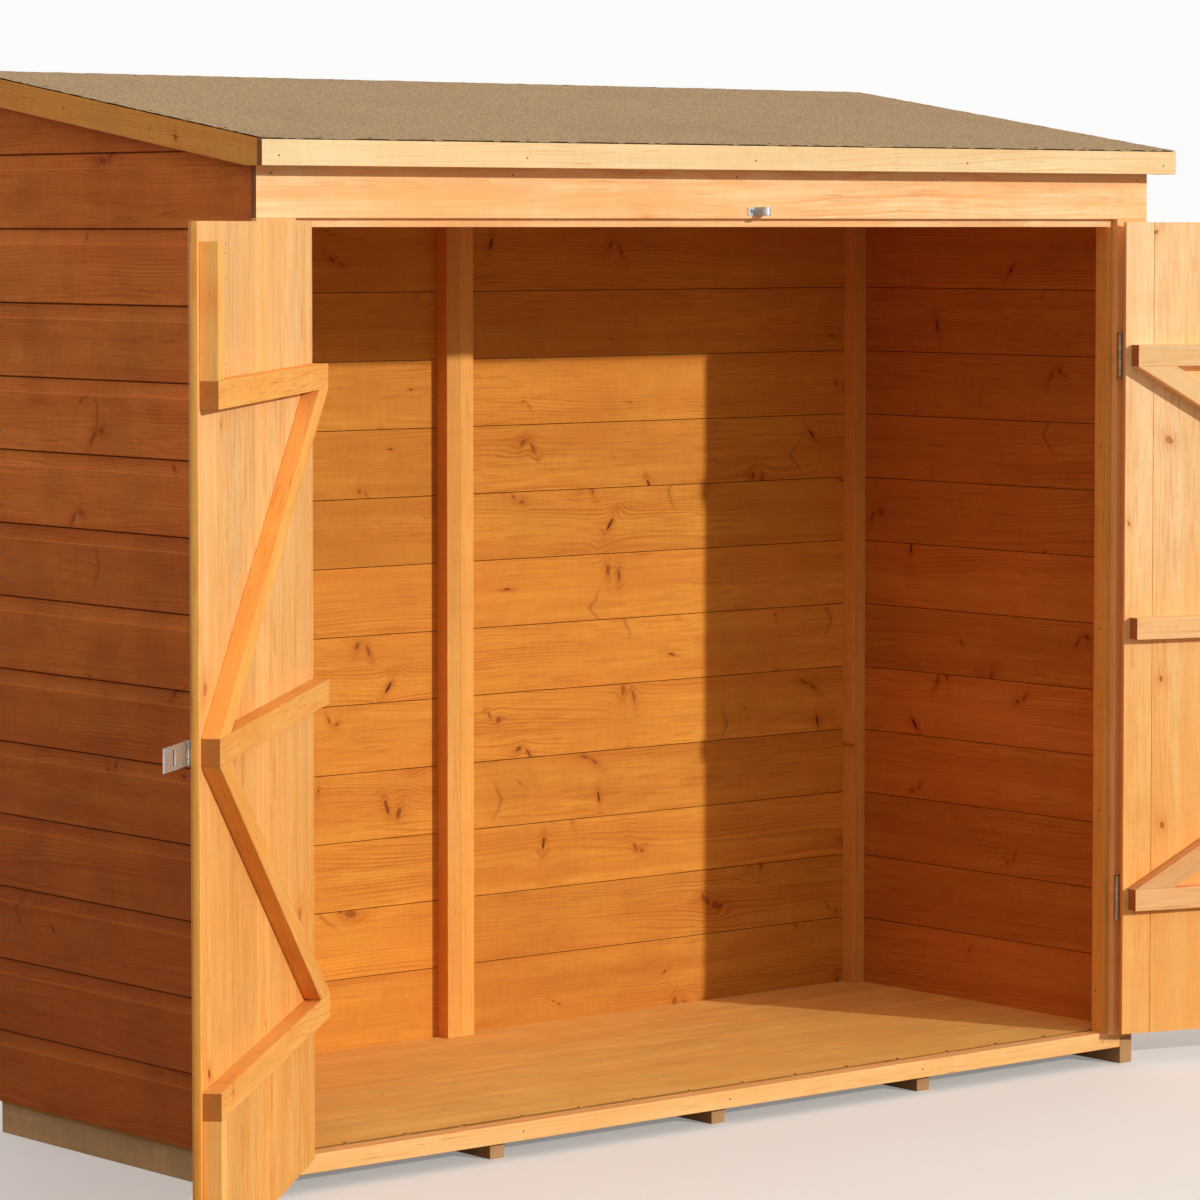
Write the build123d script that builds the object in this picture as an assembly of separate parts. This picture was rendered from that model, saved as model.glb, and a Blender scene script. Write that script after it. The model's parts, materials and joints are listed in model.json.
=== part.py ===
"""Pent-roof timber cycle store with double doors, in millimetres.

X runs along the front, Y from the front to the back, Z up from the underside of the bearers.
The origin is under the middle of the floor. The doors are drawn standing open.
"""
import os
from math import cos, hypot, radians, sqrt, tan

from build123d import *

# Overall body
BODY_W = 1830.0
BODY_D = 712.0
BOARD_T = 12.0
BATTEN = 28.0
BACK_JOINT_X = -16.0

# Floor
CLADDING_DROP = 4.0
BEARER_W = 28.0
BEARER_H = 45.0
BEARER_COUNT = 5
FLOOR_T = 11.0
THRESHOLD_H = 28.0

# Front opening
STRIP_W = 70.0
JAMB_W = 40.0
HEADER_H = 108.0
HEAD_LAP = 8.0

# Doors
DOOR_H = 1356.0
DOOR_T = 12.0
DOOR_LIFT = 2.0
DOOR_GAP = 5.0
MEETING_GAP = 6.0
LEDGE_H = 36.0
LEDGE_T = 25.0
TOP_LEDGE_INSET = 221.0
BOTTOM_LEDGE_INSET = 227.0
LEDGE_HINGE_SETBACK = 10.5
LEDGE_FREE_SETBACK = 10.0
BRACE_W = 36.0
EDGE_BATTEN_W = 36.0
EDGE_BATTEN_SETBACK = 26.0
LEFT_DOOR_OPEN = 136.4
RIGHT_DOOR_OPEN = 163.0

# Roof
ROOF_SLOPE = 8.4
FRONT_OVERHANG = 45.0
BACK_OVERHANG = 16.0
SIDE_OVERHANG = 22.0
DECK_T = 10.0
FELT_T = 3.0
FASCIA_H = 37.0
BARGE_H = 43.0
TRIM_T = 12.0
ROOF_BATTEN = 22.0

# Butt hinges
HINGE_H = 76.0
HINGE_LEAF_W = 25.0
HINGE_LEAF_T = 1.5
HINGE_KNUCKLE_R = 4.0
HINGE_PIN_R = 2.0
HINGE_KNUCKLES = 5
PIN_CLEARANCE = 0.1
KNUCKLE_CLEARANCE = 0.4

# Hasp and staple
HASP_H = 32.0
HASP_LEAF_L = 42.0
HASP_FLAP_L = 97.0
HASP_T = 2.0
HASP_KNUCKLE_R = 4.0
HASP_KNUCKLE_H = 8.0
HASP_PIN_R = 1.8
HASP_EDGE = 8.0
HASP_OPEN = 7.0
SLOT_AT = 57.0
SLOT_H = 21.0
SLOT_W = 10.0
STAPLE_R = 2.5
STAPLE_HALF = 6.5
STAPLE_REACH = 14.0
STAPLE_PLATE_L = 36.0

# Tower bolt and its keep
BOLT_X = 47.0
BOLT_R = 4.0
BOLT_PLATE_H = 110.0
BOLT_PLATE_W = 30.0
BOLT_STANDOFF = 4.0
BOLT_ROD_L = 118.0
BOLT_DOWN = 14.0
KNOB_R = 5.0
KNOB_L = 16.0
GUIDE_H = 14.0
KEEP_W = 48.0
KEEP_H = 13.0
KEEP_UP = 5.0
KEEP_LOOP_W = 17.0
PLATE_T = 1.5
SEAT = 0.3

# Heights worked out from the sizes above
floor_top = BEARER_H + FLOOR_T
cladding_bottom = floor_top - CLADDING_DROP
door_bottom = floor_top + DOOR_LIFT
door_top = door_bottom + DOOR_H
header_bottom = door_top + DOOR_GAP
head_rail_bottom = door_top - HEAD_LAP
header_top = header_bottom + HEADER_H

# Places across the width
side = BODY_W / 2
frame_side = side - BOARD_T
post_inside = frame_side - BATTEN
jamb_inside = post_inside - JAMB_W
strip_inside = side - STRIP_W
door_hinge_edge = strip_inside - DOOR_GAP
door_free_edge = MEETING_GAP / 2
hinge_x = strip_inside - DOOR_GAP / 2

# Places through the depth
front = -BODY_D / 2
back = BODY_D / 2
frame_front = front + BOARD_T
frame_back = back - BOARD_T
door_back_face = frame_front - DOOR_GAP
door_face = door_back_face - DOOR_T
hinge_y = door_face - HINGE_KNUCKLE_R - SEAT
roof_front = front - FRONT_OVERHANG
roof_back = back + BACK_OVERHANG
roof_side = side + SIDE_OVERHANG

# Roof pitch
pitch = tan(radians(ROOF_SLOPE))
upright = 1 / cos(radians(ROOF_SLOPE))
deck_rise = DECK_T * upright
felt_rise = FELT_T * upright


def under_roof(y):
    """Height of the deck's underside at a place y, resting on the header's front edge."""
    return header_top + (y - front) * pitch


def block(x0, x1, y0, y1, z0, z1):
    """A square-cut piece between two corners."""
    centre = ((x0 + x1) / 2, (y0 + y1) / 2, (z0 + z1) / 2)
    return Pos(*centre) * Box(x1 - x0, y1 - y0, z1 - z0)


def sloped(x0, x1, y0, y1, low, high):
    """A piece whose lower and upper edges are heights given as functions of y."""
    outline = Polygon((y0, low(y0)), (y1, low(y1)), (y1, high(y1)), (y0, high(y0)), align=None)
    return extrude(Plane.YZ.offset(x0) * outline, amount=x1 - x0, dir=(1, 0, 0))


def level(z):
    """A height that is the same all along the depth."""
    return lambda y: z


def roof_line(offset):
    """A line parallel to the roof, an upright distance from the deck's underside."""
    return lambda y: under_roof(y) + offset


def upright_tube(x, y, z0, z1, radius):
    """A round bar that stands upright."""
    return Pos(x, y, (z0 + z1) / 2) * Cylinder(radius, z1 - z0)


def across_bar(x, y0, y1, z, radius):
    """A round bar that runs from the front to the back."""
    return Pos(x, (y0 + y1) / 2, z) * Rot(90, 0, 0) * Cylinder(radius, abs(y1 - y0))


# Floor


def floor_bearers():
    first = -frame_side + BEARER_W / 2
    pitch_x = -2 * first / (BEARER_COUNT - 1)
    pieces = []
    for i in range(BEARER_COUNT):
        x = first + i * pitch_x
        outer = i in (0, BEARER_COUNT - 1)
        start = frame_front if outer else frame_front + BATTEN
        pieces.append(block(x - BEARER_W / 2, x + BEARER_W / 2, start, frame_back, 0, BEARER_H))
    return pieces


def threshold():
    inner = frame_side - BEARER_W
    top = floor_top
    return block(-inner, inner, frame_front, frame_front + BATTEN, top - THRESHOLD_H, top)


def floor_sheet():
    sheet = block(-frame_side, frame_side, frame_front, frame_back, BEARER_H, floor_top)
    inner = frame_side - BEARER_W
    notch = block(-inner, inner, frame_front, frame_front + BATTEN, BEARER_H, floor_top)
    return sheet - notch


# Walls


def side_cladding(hand):
    x0, x1 = sorted((hand * frame_side, hand * side))
    return sloped(x0, x1, frame_front, back, level(cladding_bottom), roof_line(0))


def side_post(hand):
    """The corner upright behind the front strip."""
    x0, x1 = sorted((hand * post_inside, hand * frame_side))
    y1 = frame_front + BATTEN
    return sloped(x0, x1, frame_front, y1, level(floor_top), roof_line(-BATTEN))


def side_rail(hand):
    """The top rail, which follows the roof."""
    x0, x1 = sorted((hand * post_inside, hand * frame_side))
    y1 = frame_back - BATTEN
    return sloped(x0, x1, frame_front, y1, roof_line(-BATTEN), roof_line(0))


def back_cladding(hand):
    x0, x1 = sorted((BACK_JOINT_X, hand * frame_side))
    return sloped(x0, x1, frame_back, back, level(cladding_bottom), roof_line(0))


def back_posts(hand):
    """One back panel's uprights, at the corner and at the joint between the panels."""
    corner = sorted((hand * post_inside, hand * frame_side))
    joint = sorted((BACK_JOINT_X, BACK_JOINT_X + hand * BATTEN))
    pieces = []
    for x0, x1 in (corner, joint):
        y0 = frame_back - BATTEN
        pieces.append(sloped(x0, x1, y0, frame_back, level(floor_top), roof_line(-BATTEN)))
    return pieces


def back_rail(hand):
    x0, x1 = sorted((BACK_JOINT_X, hand * frame_side))
    return sloped(x0, x1, frame_back - BATTEN, frame_back, roof_line(-BATTEN), roof_line(0))


# Front frame


def front_jambs():
    pieces = []
    for hand in (-1, 1):
        x0, x1 = sorted((hand * jamb_inside, hand * post_inside))
        y1 = frame_front + BATTEN
        pieces.append(block(x0, x1, frame_front, y1, floor_top, head_rail_bottom))
    return pieces


def head_rail():
    z1 = head_rail_bottom + BATTEN
    y1 = frame_front + BATTEN
    return block(-post_inside, post_inside, frame_front, y1, head_rail_bottom, z1)


def front_top_rail():
    y1 = frame_front + BATTEN
    return sloped(-post_inside, post_inside, frame_front, y1, roof_line(-BATTEN), roof_line(0))


def header_board():
    return sloped(-side, side, front, frame_front, level(header_bottom), roof_line(0))


def front_strip(hand):
    x0, x1 = sorted((hand * strip_inside, hand * side))
    return block(x0, x1, front, frame_front, cladding_bottom, header_bottom)


# Roof


def roof_deck():
    x = roof_side - TRIM_T
    return sloped(-x, x, roof_front + TRIM_T, roof_back, roof_line(0), roof_line(deck_rise))


def roof_felt():
    low = roof_line(deck_rise)
    high = roof_line(deck_rise + felt_rise)
    return sloped(-roof_side, roof_side, roof_front, roof_back, low, high)


def roof_batten():
    """Under the deck's front edge, where the fascia is nailed."""
    x = roof_side - TRIM_T
    y0 = roof_front + TRIM_T
    return sloped(-x, x, y0, y0 + ROOF_BATTEN, roof_line(-ROOF_BATTEN), roof_line(0))


def fascia():
    top = roof_line(deck_rise)
    bottom = level(under_roof(roof_front) + deck_rise - FASCIA_H)
    return sloped(-roof_side, roof_side, roof_front, roof_front + TRIM_T, bottom, top)


def bargeboard(hand):
    x0, x1 = sorted((hand * (roof_side - TRIM_T), hand * roof_side))
    low = roof_line(deck_rise - BARGE_H)
    return sloped(x0, x1, roof_front + TRIM_T, roof_back, low, roof_line(deck_rise))


# Doors, drawn shut on the left hand side of the front and mirrored for the right


def door_boards():
    x0 = -door_hinge_edge
    return block(x0, -door_free_edge, door_face, door_back_face, door_bottom, door_top)


def ledge_centres():
    """Heights of the bottom, middle and top ledge."""
    low = door_bottom + BOTTOM_LEDGE_INSET
    high = door_top - TOP_LEDGE_INSET
    return low, (low + high) / 2, high


def ledge_span():
    x0 = -door_hinge_edge + LEDGE_HINGE_SETBACK
    x1 = -door_free_edge - LEDGE_FREE_SETBACK
    return x0, x1


def door_ledges():
    x0, x1 = ledge_span()
    y1 = door_back_face + LEDGE_T
    pieces = []
    for z in ledge_centres():
        pieces.append(block(x0, x1, door_back_face, y1, z - LEDGE_H / 2, z + LEDGE_H / 2))
    return pieces


def brace(z_hinge, z_free):
    """A brace between two ledges, its ends cut level against them."""
    x0, x1 = ledge_span()
    length = x1 - x0
    rise = abs(z_free - z_hinge)
    spare = rise**2 - BRACE_W**2
    root = sqrt((BRACE_W * length) ** 2 + spare * (length**2 + rise**2))
    cut = BRACE_W * (root - BRACE_W * length) / spare
    outline = Polygon((x0, z_hinge), (x0 + cut, z_hinge), (x1, z_free), (x1 - cut, z_free), align=None)
    return extrude(Plane.XZ.offset(-door_back_face) * outline, amount=LEDGE_T, dir=(0, 1, 0))


def door_braces():
    low, middle, high = ledge_centres()
    half = LEDGE_H / 2
    return [brace(low + half, middle - half), brace(high - half, middle + half)]


def door_edge_battens():
    low, _, high = ledge_centres()
    x1 = -door_free_edge - LEDGE_FREE_SETBACK
    x0 = x1 - EDGE_BATTEN_W
    y1 = door_back_face + LEDGE_T
    half = LEDGE_H / 2
    upper = block(x0, x1, door_back_face, y1, high + half, door_top - EDGE_BATTEN_SETBACK)
    lower = block(x0, x1, door_back_face, y1, door_bottom + EDGE_BATTEN_SETBACK, low - half)
    return [upper, lower]


# Butt hinges, on the left hand side


def knuckle_spans(z, first):
    """Heights of every other knuckle of a hinge centred at z, starting at number first."""
    length = HINGE_H / HINGE_KNUCKLES
    spans = []
    for i in range(first, HINGE_KNUCKLES, 2):
        z0 = z - HINGE_H / 2 + i * length
        low = z0 if i == 0 else z0 + KNUCKLE_CLEARANCE / 2
        high = z0 + length if i == HINGE_KNUCKLES - 1 else z0 + length - KNUCKLE_CLEARANCE / 2
        spans.append((low, high))
    return spans


def hinge_frame_leaf(z):
    """Screwed to the front strip and cranked forward to its knuckles, with the pin."""
    start = hinge_x + HINGE_KNUCKLE_R + KNUCKLE_CLEARANCE
    x0 = -hinge_x - HINGE_LEAF_W
    plate = block(x0, -start, front - HINGE_LEAF_T, front, z - HINGE_H / 2, z + HINGE_H / 2)
    leaf = plate + upright_tube(-hinge_x, hinge_y, z - HINGE_H / 2, z + HINGE_H / 2, HINGE_PIN_R)
    for low, high in knuckle_spans(z, 0):
        outline = Polygon(
            (-start, front),
            (-start - HINGE_LEAF_T, front - HINGE_LEAF_T),
            (-hinge_x - HINGE_PIN_R, hinge_y - HINGE_LEAF_T / 2),
            (-hinge_x - HINGE_PIN_R, hinge_y + HINGE_PIN_R),
            (-start + HINGE_PIN_R, front - HINGE_LEAF_T),
            (-start + HINGE_PIN_R, front - SEAT),
            align=None,
        )
        leaf += extrude(Plane.XY.offset(low) * outline, amount=high - low, dir=(0, 0, 1))
        leaf += upright_tube(-hinge_x, hinge_y, low, high, HINGE_KNUCKLE_R)
    return leaf


def hinge_door_leaf(z):
    """Screwed to the door's face, with the knuckles that turn on the pin."""
    start = hinge_x - HINGE_KNUCKLE_R - KNUCKLE_CLEARANCE
    x1 = -hinge_x + HINGE_LEAF_W
    y0 = door_face - HINGE_LEAF_T
    leaf = block(-start, x1, y0, door_face, z - HINGE_H / 2, z + HINGE_H / 2)
    for low, high in knuckle_spans(z, 1):
        leaf += block(-hinge_x, -start, y0, door_face, low, high)
        leaf += upright_tube(-hinge_x, hinge_y, low, high, HINGE_KNUCKLE_R)
    bore_r = HINGE_PIN_R + PIN_CLEARANCE
    return leaf - upright_tube(-hinge_x, hinge_y, z - HINGE_H, z + HINGE_H, bore_r)


def hinge_heights():
    low, _, high = ledge_centres()
    return low, high


# Hasp on the left door and staple on the right door, drawn with the doors shut

hasp_x = -door_free_edge - HASP_EDGE
hasp_y = door_face - HASP_KNUCKLE_R - SEAT
hasp_z = ledge_centres()[1]


def hasp_leaf():
    z0 = hasp_z - HASP_H / 2
    z1 = hasp_z + HASP_H / 2
    start = hasp_x - HASP_KNUCKLE_R - KNUCKLE_CLEARANCE
    leaf = block(hasp_x - HASP_LEAF_L, start, door_face - PLATE_T, door_face, z0, z1)
    for low, high in ((z0, z0 + HASP_KNUCKLE_H), (z1 - HASP_KNUCKLE_H, z1)):
        leaf += block(start, hasp_x, door_face - PLATE_T, door_face, low, high)
        leaf += upright_tube(hasp_x, hasp_y, low, high, HASP_KNUCKLE_R)
    return leaf + upright_tube(hasp_x, hasp_y, z0, z1, HASP_PIN_R)


def hasp_flap():
    z0 = hasp_z - HASP_H / 2
    z1 = hasp_z + HASP_H / 2
    y0 = hasp_y - HASP_T / 2
    y1 = hasp_y + HASP_T / 2
    start = hasp_x + HASP_KNUCKLE_R + KNUCKLE_CLEARANCE
    flap = block(start, hasp_x + HASP_FLAP_L, y0, y1, z0, z1)
    low = z0 + HASP_KNUCKLE_H + KNUCKLE_CLEARANCE
    high = z1 - HASP_KNUCKLE_H - KNUCKLE_CLEARANCE
    flap += block(hasp_x, start, y0, y1, low, high)
    flap += upright_tube(hasp_x, hasp_y, low, high, HASP_KNUCKLE_R)
    flap -= upright_tube(hasp_x, hasp_y, z0, z1, HASP_PIN_R + PIN_CLEARANCE)
    slot_x = hasp_x + SLOT_AT
    half_h = SLOT_H / 2
    half_w = SLOT_W / 2
    return flap - block(slot_x - half_w, slot_x + half_w, y0, y1, hasp_z - half_h, hasp_z + half_h)


def staple():
    x = hasp_x + SLOT_AT
    half = STAPLE_PLATE_L / 2
    z0 = hasp_z - HASP_H / 2
    z1 = hasp_z + HASP_H / 2
    part = block(x - half, x + half, door_face - PLATE_T, door_face, z0, z1)
    bend_y = hasp_y - STAPLE_REACH + STAPLE_HALF
    for z in (hasp_z - STAPLE_HALF, hasp_z + STAPLE_HALF):
        part += across_bar(x, bend_y, door_face - PLATE_T / 2, z, STAPLE_R)
    ring = Pos(x, bend_y, hasp_z) * Rot(0, 90, 0) * Torus(STAPLE_HALF, STAPLE_R)
    reach = STAPLE_HALF + STAPLE_R
    keep = block(x - reach, x + reach, bend_y - reach, bend_y, hasp_z - reach, hasp_z + reach)
    return part + (ring & keep)


# Tower bolt on the right door, drawn back, and its keep on the header

bolt_y = door_face - PLATE_T - BOLT_STANDOFF - BOLT_R
rod_top = door_top - SEAT
plate_top = door_top - BOLT_DOWN


def bolt_plate():
    half = BOLT_PLATE_W / 2
    z0 = plate_top - BOLT_PLATE_H
    part = block(BOLT_X - half, BOLT_X + half, door_face - PLATE_T, door_face, z0, plate_top)
    shell = BOLT_R + SEAT + PLATE_T
    for top in (plate_top, z0 + GUIDE_H):
        guide = block(BOLT_X - shell, BOLT_X + shell, bolt_y, door_face - PLATE_T, top - GUIDE_H, top)
        guide += upright_tube(BOLT_X, bolt_y, top - GUIDE_H, top, shell)
        part += guide
    return part - upright_tube(BOLT_X, bolt_y, z0, plate_top, BOLT_R + SEAT)


def bolt_rod():
    rod = upright_tube(BOLT_X, bolt_y, rod_top - BOLT_ROD_L, rod_top, BOLT_R)
    knob_z = plate_top - BOLT_PLATE_H / 2
    knob = across_bar(BOLT_X, bolt_y - BOLT_R / 2 - KNOB_L, bolt_y, knob_z, KNOB_R / 2)
    knob += Pos(BOLT_X, bolt_y - BOLT_R / 2 - KNOB_L, knob_z) * Sphere(KNOB_R)
    return rod + knob


def bolt_keep():
    half = KEEP_W / 2
    z0 = header_bottom + KEEP_UP
    z1 = z0 + KEEP_H
    part = block(BOLT_X - half, BOLT_X + half, front - PLATE_T, front, z0, z1)
    shell = KEEP_LOOP_W / 2
    part += block(BOLT_X - shell, BOLT_X + shell, bolt_y, front - PLATE_T, z0, z1)
    part += upright_tube(BOLT_X, bolt_y, z0, z1, shell)
    return part - upright_tube(BOLT_X, bolt_y, z0, z1, shell - PLATE_T)


# Opening the doors


def swing_left(piece):
    """Turn a piece of the shut left door to where it stands open."""
    return piece.rotate(Axis((-hinge_x, hinge_y, 0), (0, 0, 1)), -LEFT_DOOR_OPEN)


def swing_right(piece):
    """Turn a piece of the shut right door to where it stands open."""
    return piece.rotate(Axis((hinge_x, hinge_y, 0), (0, 0, 1)), RIGHT_DOOR_OPEN)


def swing_flap(piece):
    """Lift the shut flap off the left door's plane, then open it with the door."""
    lifted = piece.rotate(Axis((hasp_x, hasp_y, 0), (0, 0, 1)), -HASP_OPEN)
    return swing_left(lifted)


def mirrored(pieces):
    return [mirror(piece, about=Plane.YZ) for piece in pieces]


def as_list(made):
    return made if isinstance(made, list) else [made]


def door_nodes():
    """The pieces that each door carries, by node name, still shut and left handed."""
    return {
        "boards": [door_boards()],
        "ledges": door_ledges(),
        "braces": door_braces(),
        "edge_battens": door_edge_battens(),
        "hinge_leaves": [hinge_door_leaf(z) for z in hinge_heights()],
    }


def build():
    nodes = {
        "floor_bearers": floor_bearers(),
        "floor_threshold": threshold(),
        "floor_sheet": floor_sheet(),
        "left_wall_cladding": side_cladding(-1),
        "right_wall_cladding": side_cladding(1),
        "left_wall_posts": side_post(-1),
        "right_wall_posts": side_post(1),
        "left_wall_rails": side_rail(-1),
        "right_wall_rails": side_rail(1),
        "back_wall_left_cladding": back_cladding(-1),
        "back_wall_right_cladding": back_cladding(1),
        "back_wall_left_posts": back_posts(-1),
        "back_wall_right_posts": back_posts(1),
        "back_wall_left_rails": back_rail(-1),
        "back_wall_right_rails": back_rail(1),
        "front_jambs": front_jambs(),
        "head_rail": head_rail(),
        "front_top_rail": front_top_rail(),
        "header_board": header_board(),
        "front_strip_left": front_strip(-1),
        "front_strip_right": front_strip(1),
        "roof_deck": roof_deck(),
        "roof_battens": roof_batten(),
        "roof_felt": roof_felt(),
        "fascia": fascia(),
        "bargeboard_left": bargeboard(-1),
        "bargeboard_right": bargeboard(1),
        "bolt_keep": bolt_keep(),
        "hasp_leaf": swing_left(hasp_leaf()),
        "hasp_flap": swing_flap(hasp_flap()),
        "staple": swing_right(staple()),
        "bolt_plate": swing_right(bolt_plate()),
        "bolt_rod": swing_right(bolt_rod()),
    }
    frame_leaves = [hinge_frame_leaf(z) for z in hinge_heights()]
    nodes["left_hinge_frame_leaves"] = frame_leaves
    nodes["right_hinge_frame_leaves"] = mirrored(frame_leaves)
    for name, pieces in door_nodes().items():
        nodes["left_door_" + name] = [swing_left(piece) for piece in pieces]
        nodes["right_door_" + name] = [swing_right(piece) for piece in mirrored(pieces)]
    return nodes


def main():
    os.makedirs("parts", exist_ok=True)
    for name, made in build().items():
        solids = [solid for piece in as_list(made) for solid in piece.solids()]
        node = solids[0] if len(solids) == 1 else Compound(children=solids)
        node.label = name
        export_step(node, os.path.join("parts", name + ".step"))
    print("opening between jambs", 2 * jamb_inside, "by", head_rail_bottom - floor_top)
    print("door leaf", door_hinge_edge - door_free_edge, "by", DOOR_H)
    print("left hinge", -hinge_x, hinge_y, "flap pivot shut", hasp_x, hasp_y, hasp_z)
    print("flap pivot from its hinge", hypot(hasp_x + hinge_x, hasp_y - hinge_y))


main()
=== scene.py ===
"""Looks of a pent-roof timber cycle store: boards, grain, felt, nails and zinc hardware."""
import json
import math
import random
from functools import partialmethod

import bmesh
import bpy
import numpy as np
from mathutils import Matrix, Vector


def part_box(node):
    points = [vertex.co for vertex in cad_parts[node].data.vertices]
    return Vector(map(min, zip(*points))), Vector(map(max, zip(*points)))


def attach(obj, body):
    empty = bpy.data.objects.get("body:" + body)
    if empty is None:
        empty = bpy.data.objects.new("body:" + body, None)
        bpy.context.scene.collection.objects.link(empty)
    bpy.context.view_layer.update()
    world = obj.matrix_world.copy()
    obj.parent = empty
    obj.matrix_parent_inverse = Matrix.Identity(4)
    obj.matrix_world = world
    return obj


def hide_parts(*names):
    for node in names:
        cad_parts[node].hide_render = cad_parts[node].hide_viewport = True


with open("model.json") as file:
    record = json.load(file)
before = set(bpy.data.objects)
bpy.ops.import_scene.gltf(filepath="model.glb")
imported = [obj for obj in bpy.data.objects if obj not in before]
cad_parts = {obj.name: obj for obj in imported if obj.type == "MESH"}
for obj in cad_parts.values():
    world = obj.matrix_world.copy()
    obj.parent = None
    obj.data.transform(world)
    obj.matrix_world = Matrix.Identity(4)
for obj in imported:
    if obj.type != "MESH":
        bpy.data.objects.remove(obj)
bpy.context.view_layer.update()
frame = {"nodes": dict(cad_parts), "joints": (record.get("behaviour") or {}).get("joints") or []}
nodes = frame["nodes"]

# General sizes, in metres
MM = 0.001
WELD = 0.00002
ARRIS = 1.0 * MM
FINE_ARRIS = 0.8 * MM
METAL_ARRIS = 0.35 * MM
FLAT_DEG = 0.5
NO_WIDTH = 0.00001
FORWARD = Vector((0, -1, 0))
UP = Vector((0, 0, 1))
SIDES = {"left": -1, "right": 1}

# A face looks along an axis, or out of a wall, when its normal's share of that way is above this
SQUARE_ON = 0.8
FACING_OUT = 0.1

# Shiplap wall boards
SHIPLAP_PITCH = 112.7 * MM
SHIPLAP_LAP = 8.0 * MM
SHIPLAP_LIP = 6.0 * MM
COVE_H = 22.0 * MM
COVE_DEPTH = 4.4 * MM
COVE_STEPS = 7
LAP_GAP = 1.3 * MM
LAP_SLOT = 2.6 * MM
# Band below the cove over which its painted highlight fades out
HIGHLIGHT_EDGE = 1.6 * MM
TONGUE_ROOM = 0.3 * MM
TONGUE_SLACK = 0.8 * MM
BOARD_WOBBLE = 0.25 * MM
WALL_NAIL_INSET = 14.0 * MM
CORNER_NAIL_INSET = 38.0 * MM
WALL_NAIL_RISES = (0.24, 0.57)
NAIL_BELOW_ROOF = 12.0 * MM

# Tongued and grooved boards
DOOR_BOARD_W = 98.0 * MM
DOOR_FIRST_W = 53.0 * MM
DECK_BOARD_W = 96.0 * MM
TONGUE_T = 3.5 * MM
TONGUE_L = 5.0 * MM
VEE = 2.6 * MM
# How far the vee joints darken: dirt and painted shade in the joint
VEE_GRIME_AND_SHADE = 0.8
BUTT_GAP = 0.7 * MM
BACK_ARRIS = 0.4 * MM

# Felt
FELT_CELL = 12.0 * MM
FELT_RIPPLE = 0.9 * MM
FELT_FRAY = 1.6 * MM
FELT_DIP = 0.7 * MM
FELT_SUNK = 0.45 * MM
FELT_THINNER = 1.9 * MM
FELT_HELD_EDGE = 30.0 * MM
CLOUT_PITCH = 95.0 * MM
CLOUT_INSET = 14.0 * MM
CLOUT_R = 4.2 * MM
CLOUT_SUNK = 0.5 * MM

# Front edge of the floor sheet, with a chip at each of its nails
EDGE_NAILS_FROM = -840.0 * MM
EDGE_NAIL_PITCH = 112.0 * MM
EDGE_NAIL_COUNT = 16
FRONT_EDGE_CUTS = 420
ON_EDGE = 1.5 * MM
CHIPPED_HALF_W = 860.0 * MM
CHIP_MOST = 6.0 * MM

# Nails and screws
NAIL_R = 1.9 * MM
NAIL_PROUD = 0.25 * MM
SCREW_R = 3.2 * MM
SCREW_PROUD = 0.5 * MM
SCREW_SLOT = 0.55 * MM
NAILED_HALF_W = 800.0 * MM
LEDGE_NAIL_SHARES = (0.24, 0.76)
BATTEN_NAIL_REACH = 650.0 * MM
BATTEN_NAIL_HEIGHTS = (1.219, 1.228, 1.338, 1.372, 1.384)

# Nails in the jambs, in millimetres: their height, and the way in from the jamb's back
JAMB_NAILS_MM = ((125, 9), (430, 16), (735, 13), (1040, 14), (1345, 7))

# Hinges, hasp, staple, bolt and keep
PLATE_T = 1.5 * MM
LEAF_SCREW_INSET = 9.0 * MM

# Figure of the wood: knots and spikes to a metre, and their sizes
KNOTS_ALONG = 2.3
KNOTS_ACROSS = 7.0
KNOT_LEAST_R = 2.6 * MM
KNOT_MORE_R = 10.0 * MM
KNOT_RING = 1.9 * MM
PAIR_SHARE = 1.8
PAIR_LEAST = 6.0 * MM
PAIR_MORE = 8.0 * MM
PAIR_SLANT = 0.45
SLIT_FLATNESS = 5.0
PITH_DEPTH = 30.0 * MM
PITH_DRIFT = 0.014
SPIKES_ALONG = 2.1
SPIKES_ACROSS = 7.5
SPIKE_REACH = 50.0 * MM
SPIKE_HALF_W = 7.0 * MM

# Weathering, and the heights in metres between which boards darken towards the ground, which on the outer wall boards
# is painted shade
DRAB = (0.86, 0.86, 0.86)
DARKENING_FROM = 1.25
DARKENING_TO = 0.35
MATT = 0.12

# Light: the way to the sun, and the sky's strength at the horizon and overhead
SUN_TOWARD = Vector((0.406, -1.0, 0.326))
SUN_STRENGTH = 2.25
SUN_ANGLE_DEG = 1.2
SUN_TINT = (1.0, 0.97, 0.92)
SKY_LOW = 0.46
SKY_HIGH = 0.72
SKY_TINT = (1.0, 0.965, 0.92, 1)
BACKDROP = 0.98
BACKDROP_TINT = (1.0, 0.99, 0.975, 1)

# Studio floor, which fades into the background between two distances
STAGE_R = 40
FADE_FROM = 3.0
FADE_TO = 10.0
FLOOR_GLOW = 0.22

# Camera, as the photograph was framed, in pixels of a 1200 pixel square
PHOTO_PX = 1200
FOCAL_PX = 4794.0
AXIS_Y_PX = 490.0
AZIMUTH_DEG = 39.886
TILT_DEG = 3.1447
CAMERA_FROM_HEADER = Vector((-4.931, -5.5705, 1.4067))
SENSOR_MM = 36.0


# Reading the frame


def blank():
    """An empty bmesh that can hold each point's place in its board, and what its material reads."""
    bm = bmesh.new()
    bm.verts.layers.float_vector.new("grain")
    for name in ("tone", "grime_and_shade", "arris_highlight"):
        bm.verts.layers.float.new(name)
    for name in ("end", "outer", "side"):
        bm.faces.layers.float.new(name)
    return bm


def everything(bm):
    """All of a bmesh, as its operators take it."""
    return list(bm.verts) + list(bm.edges) + list(bm.faces)


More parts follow.
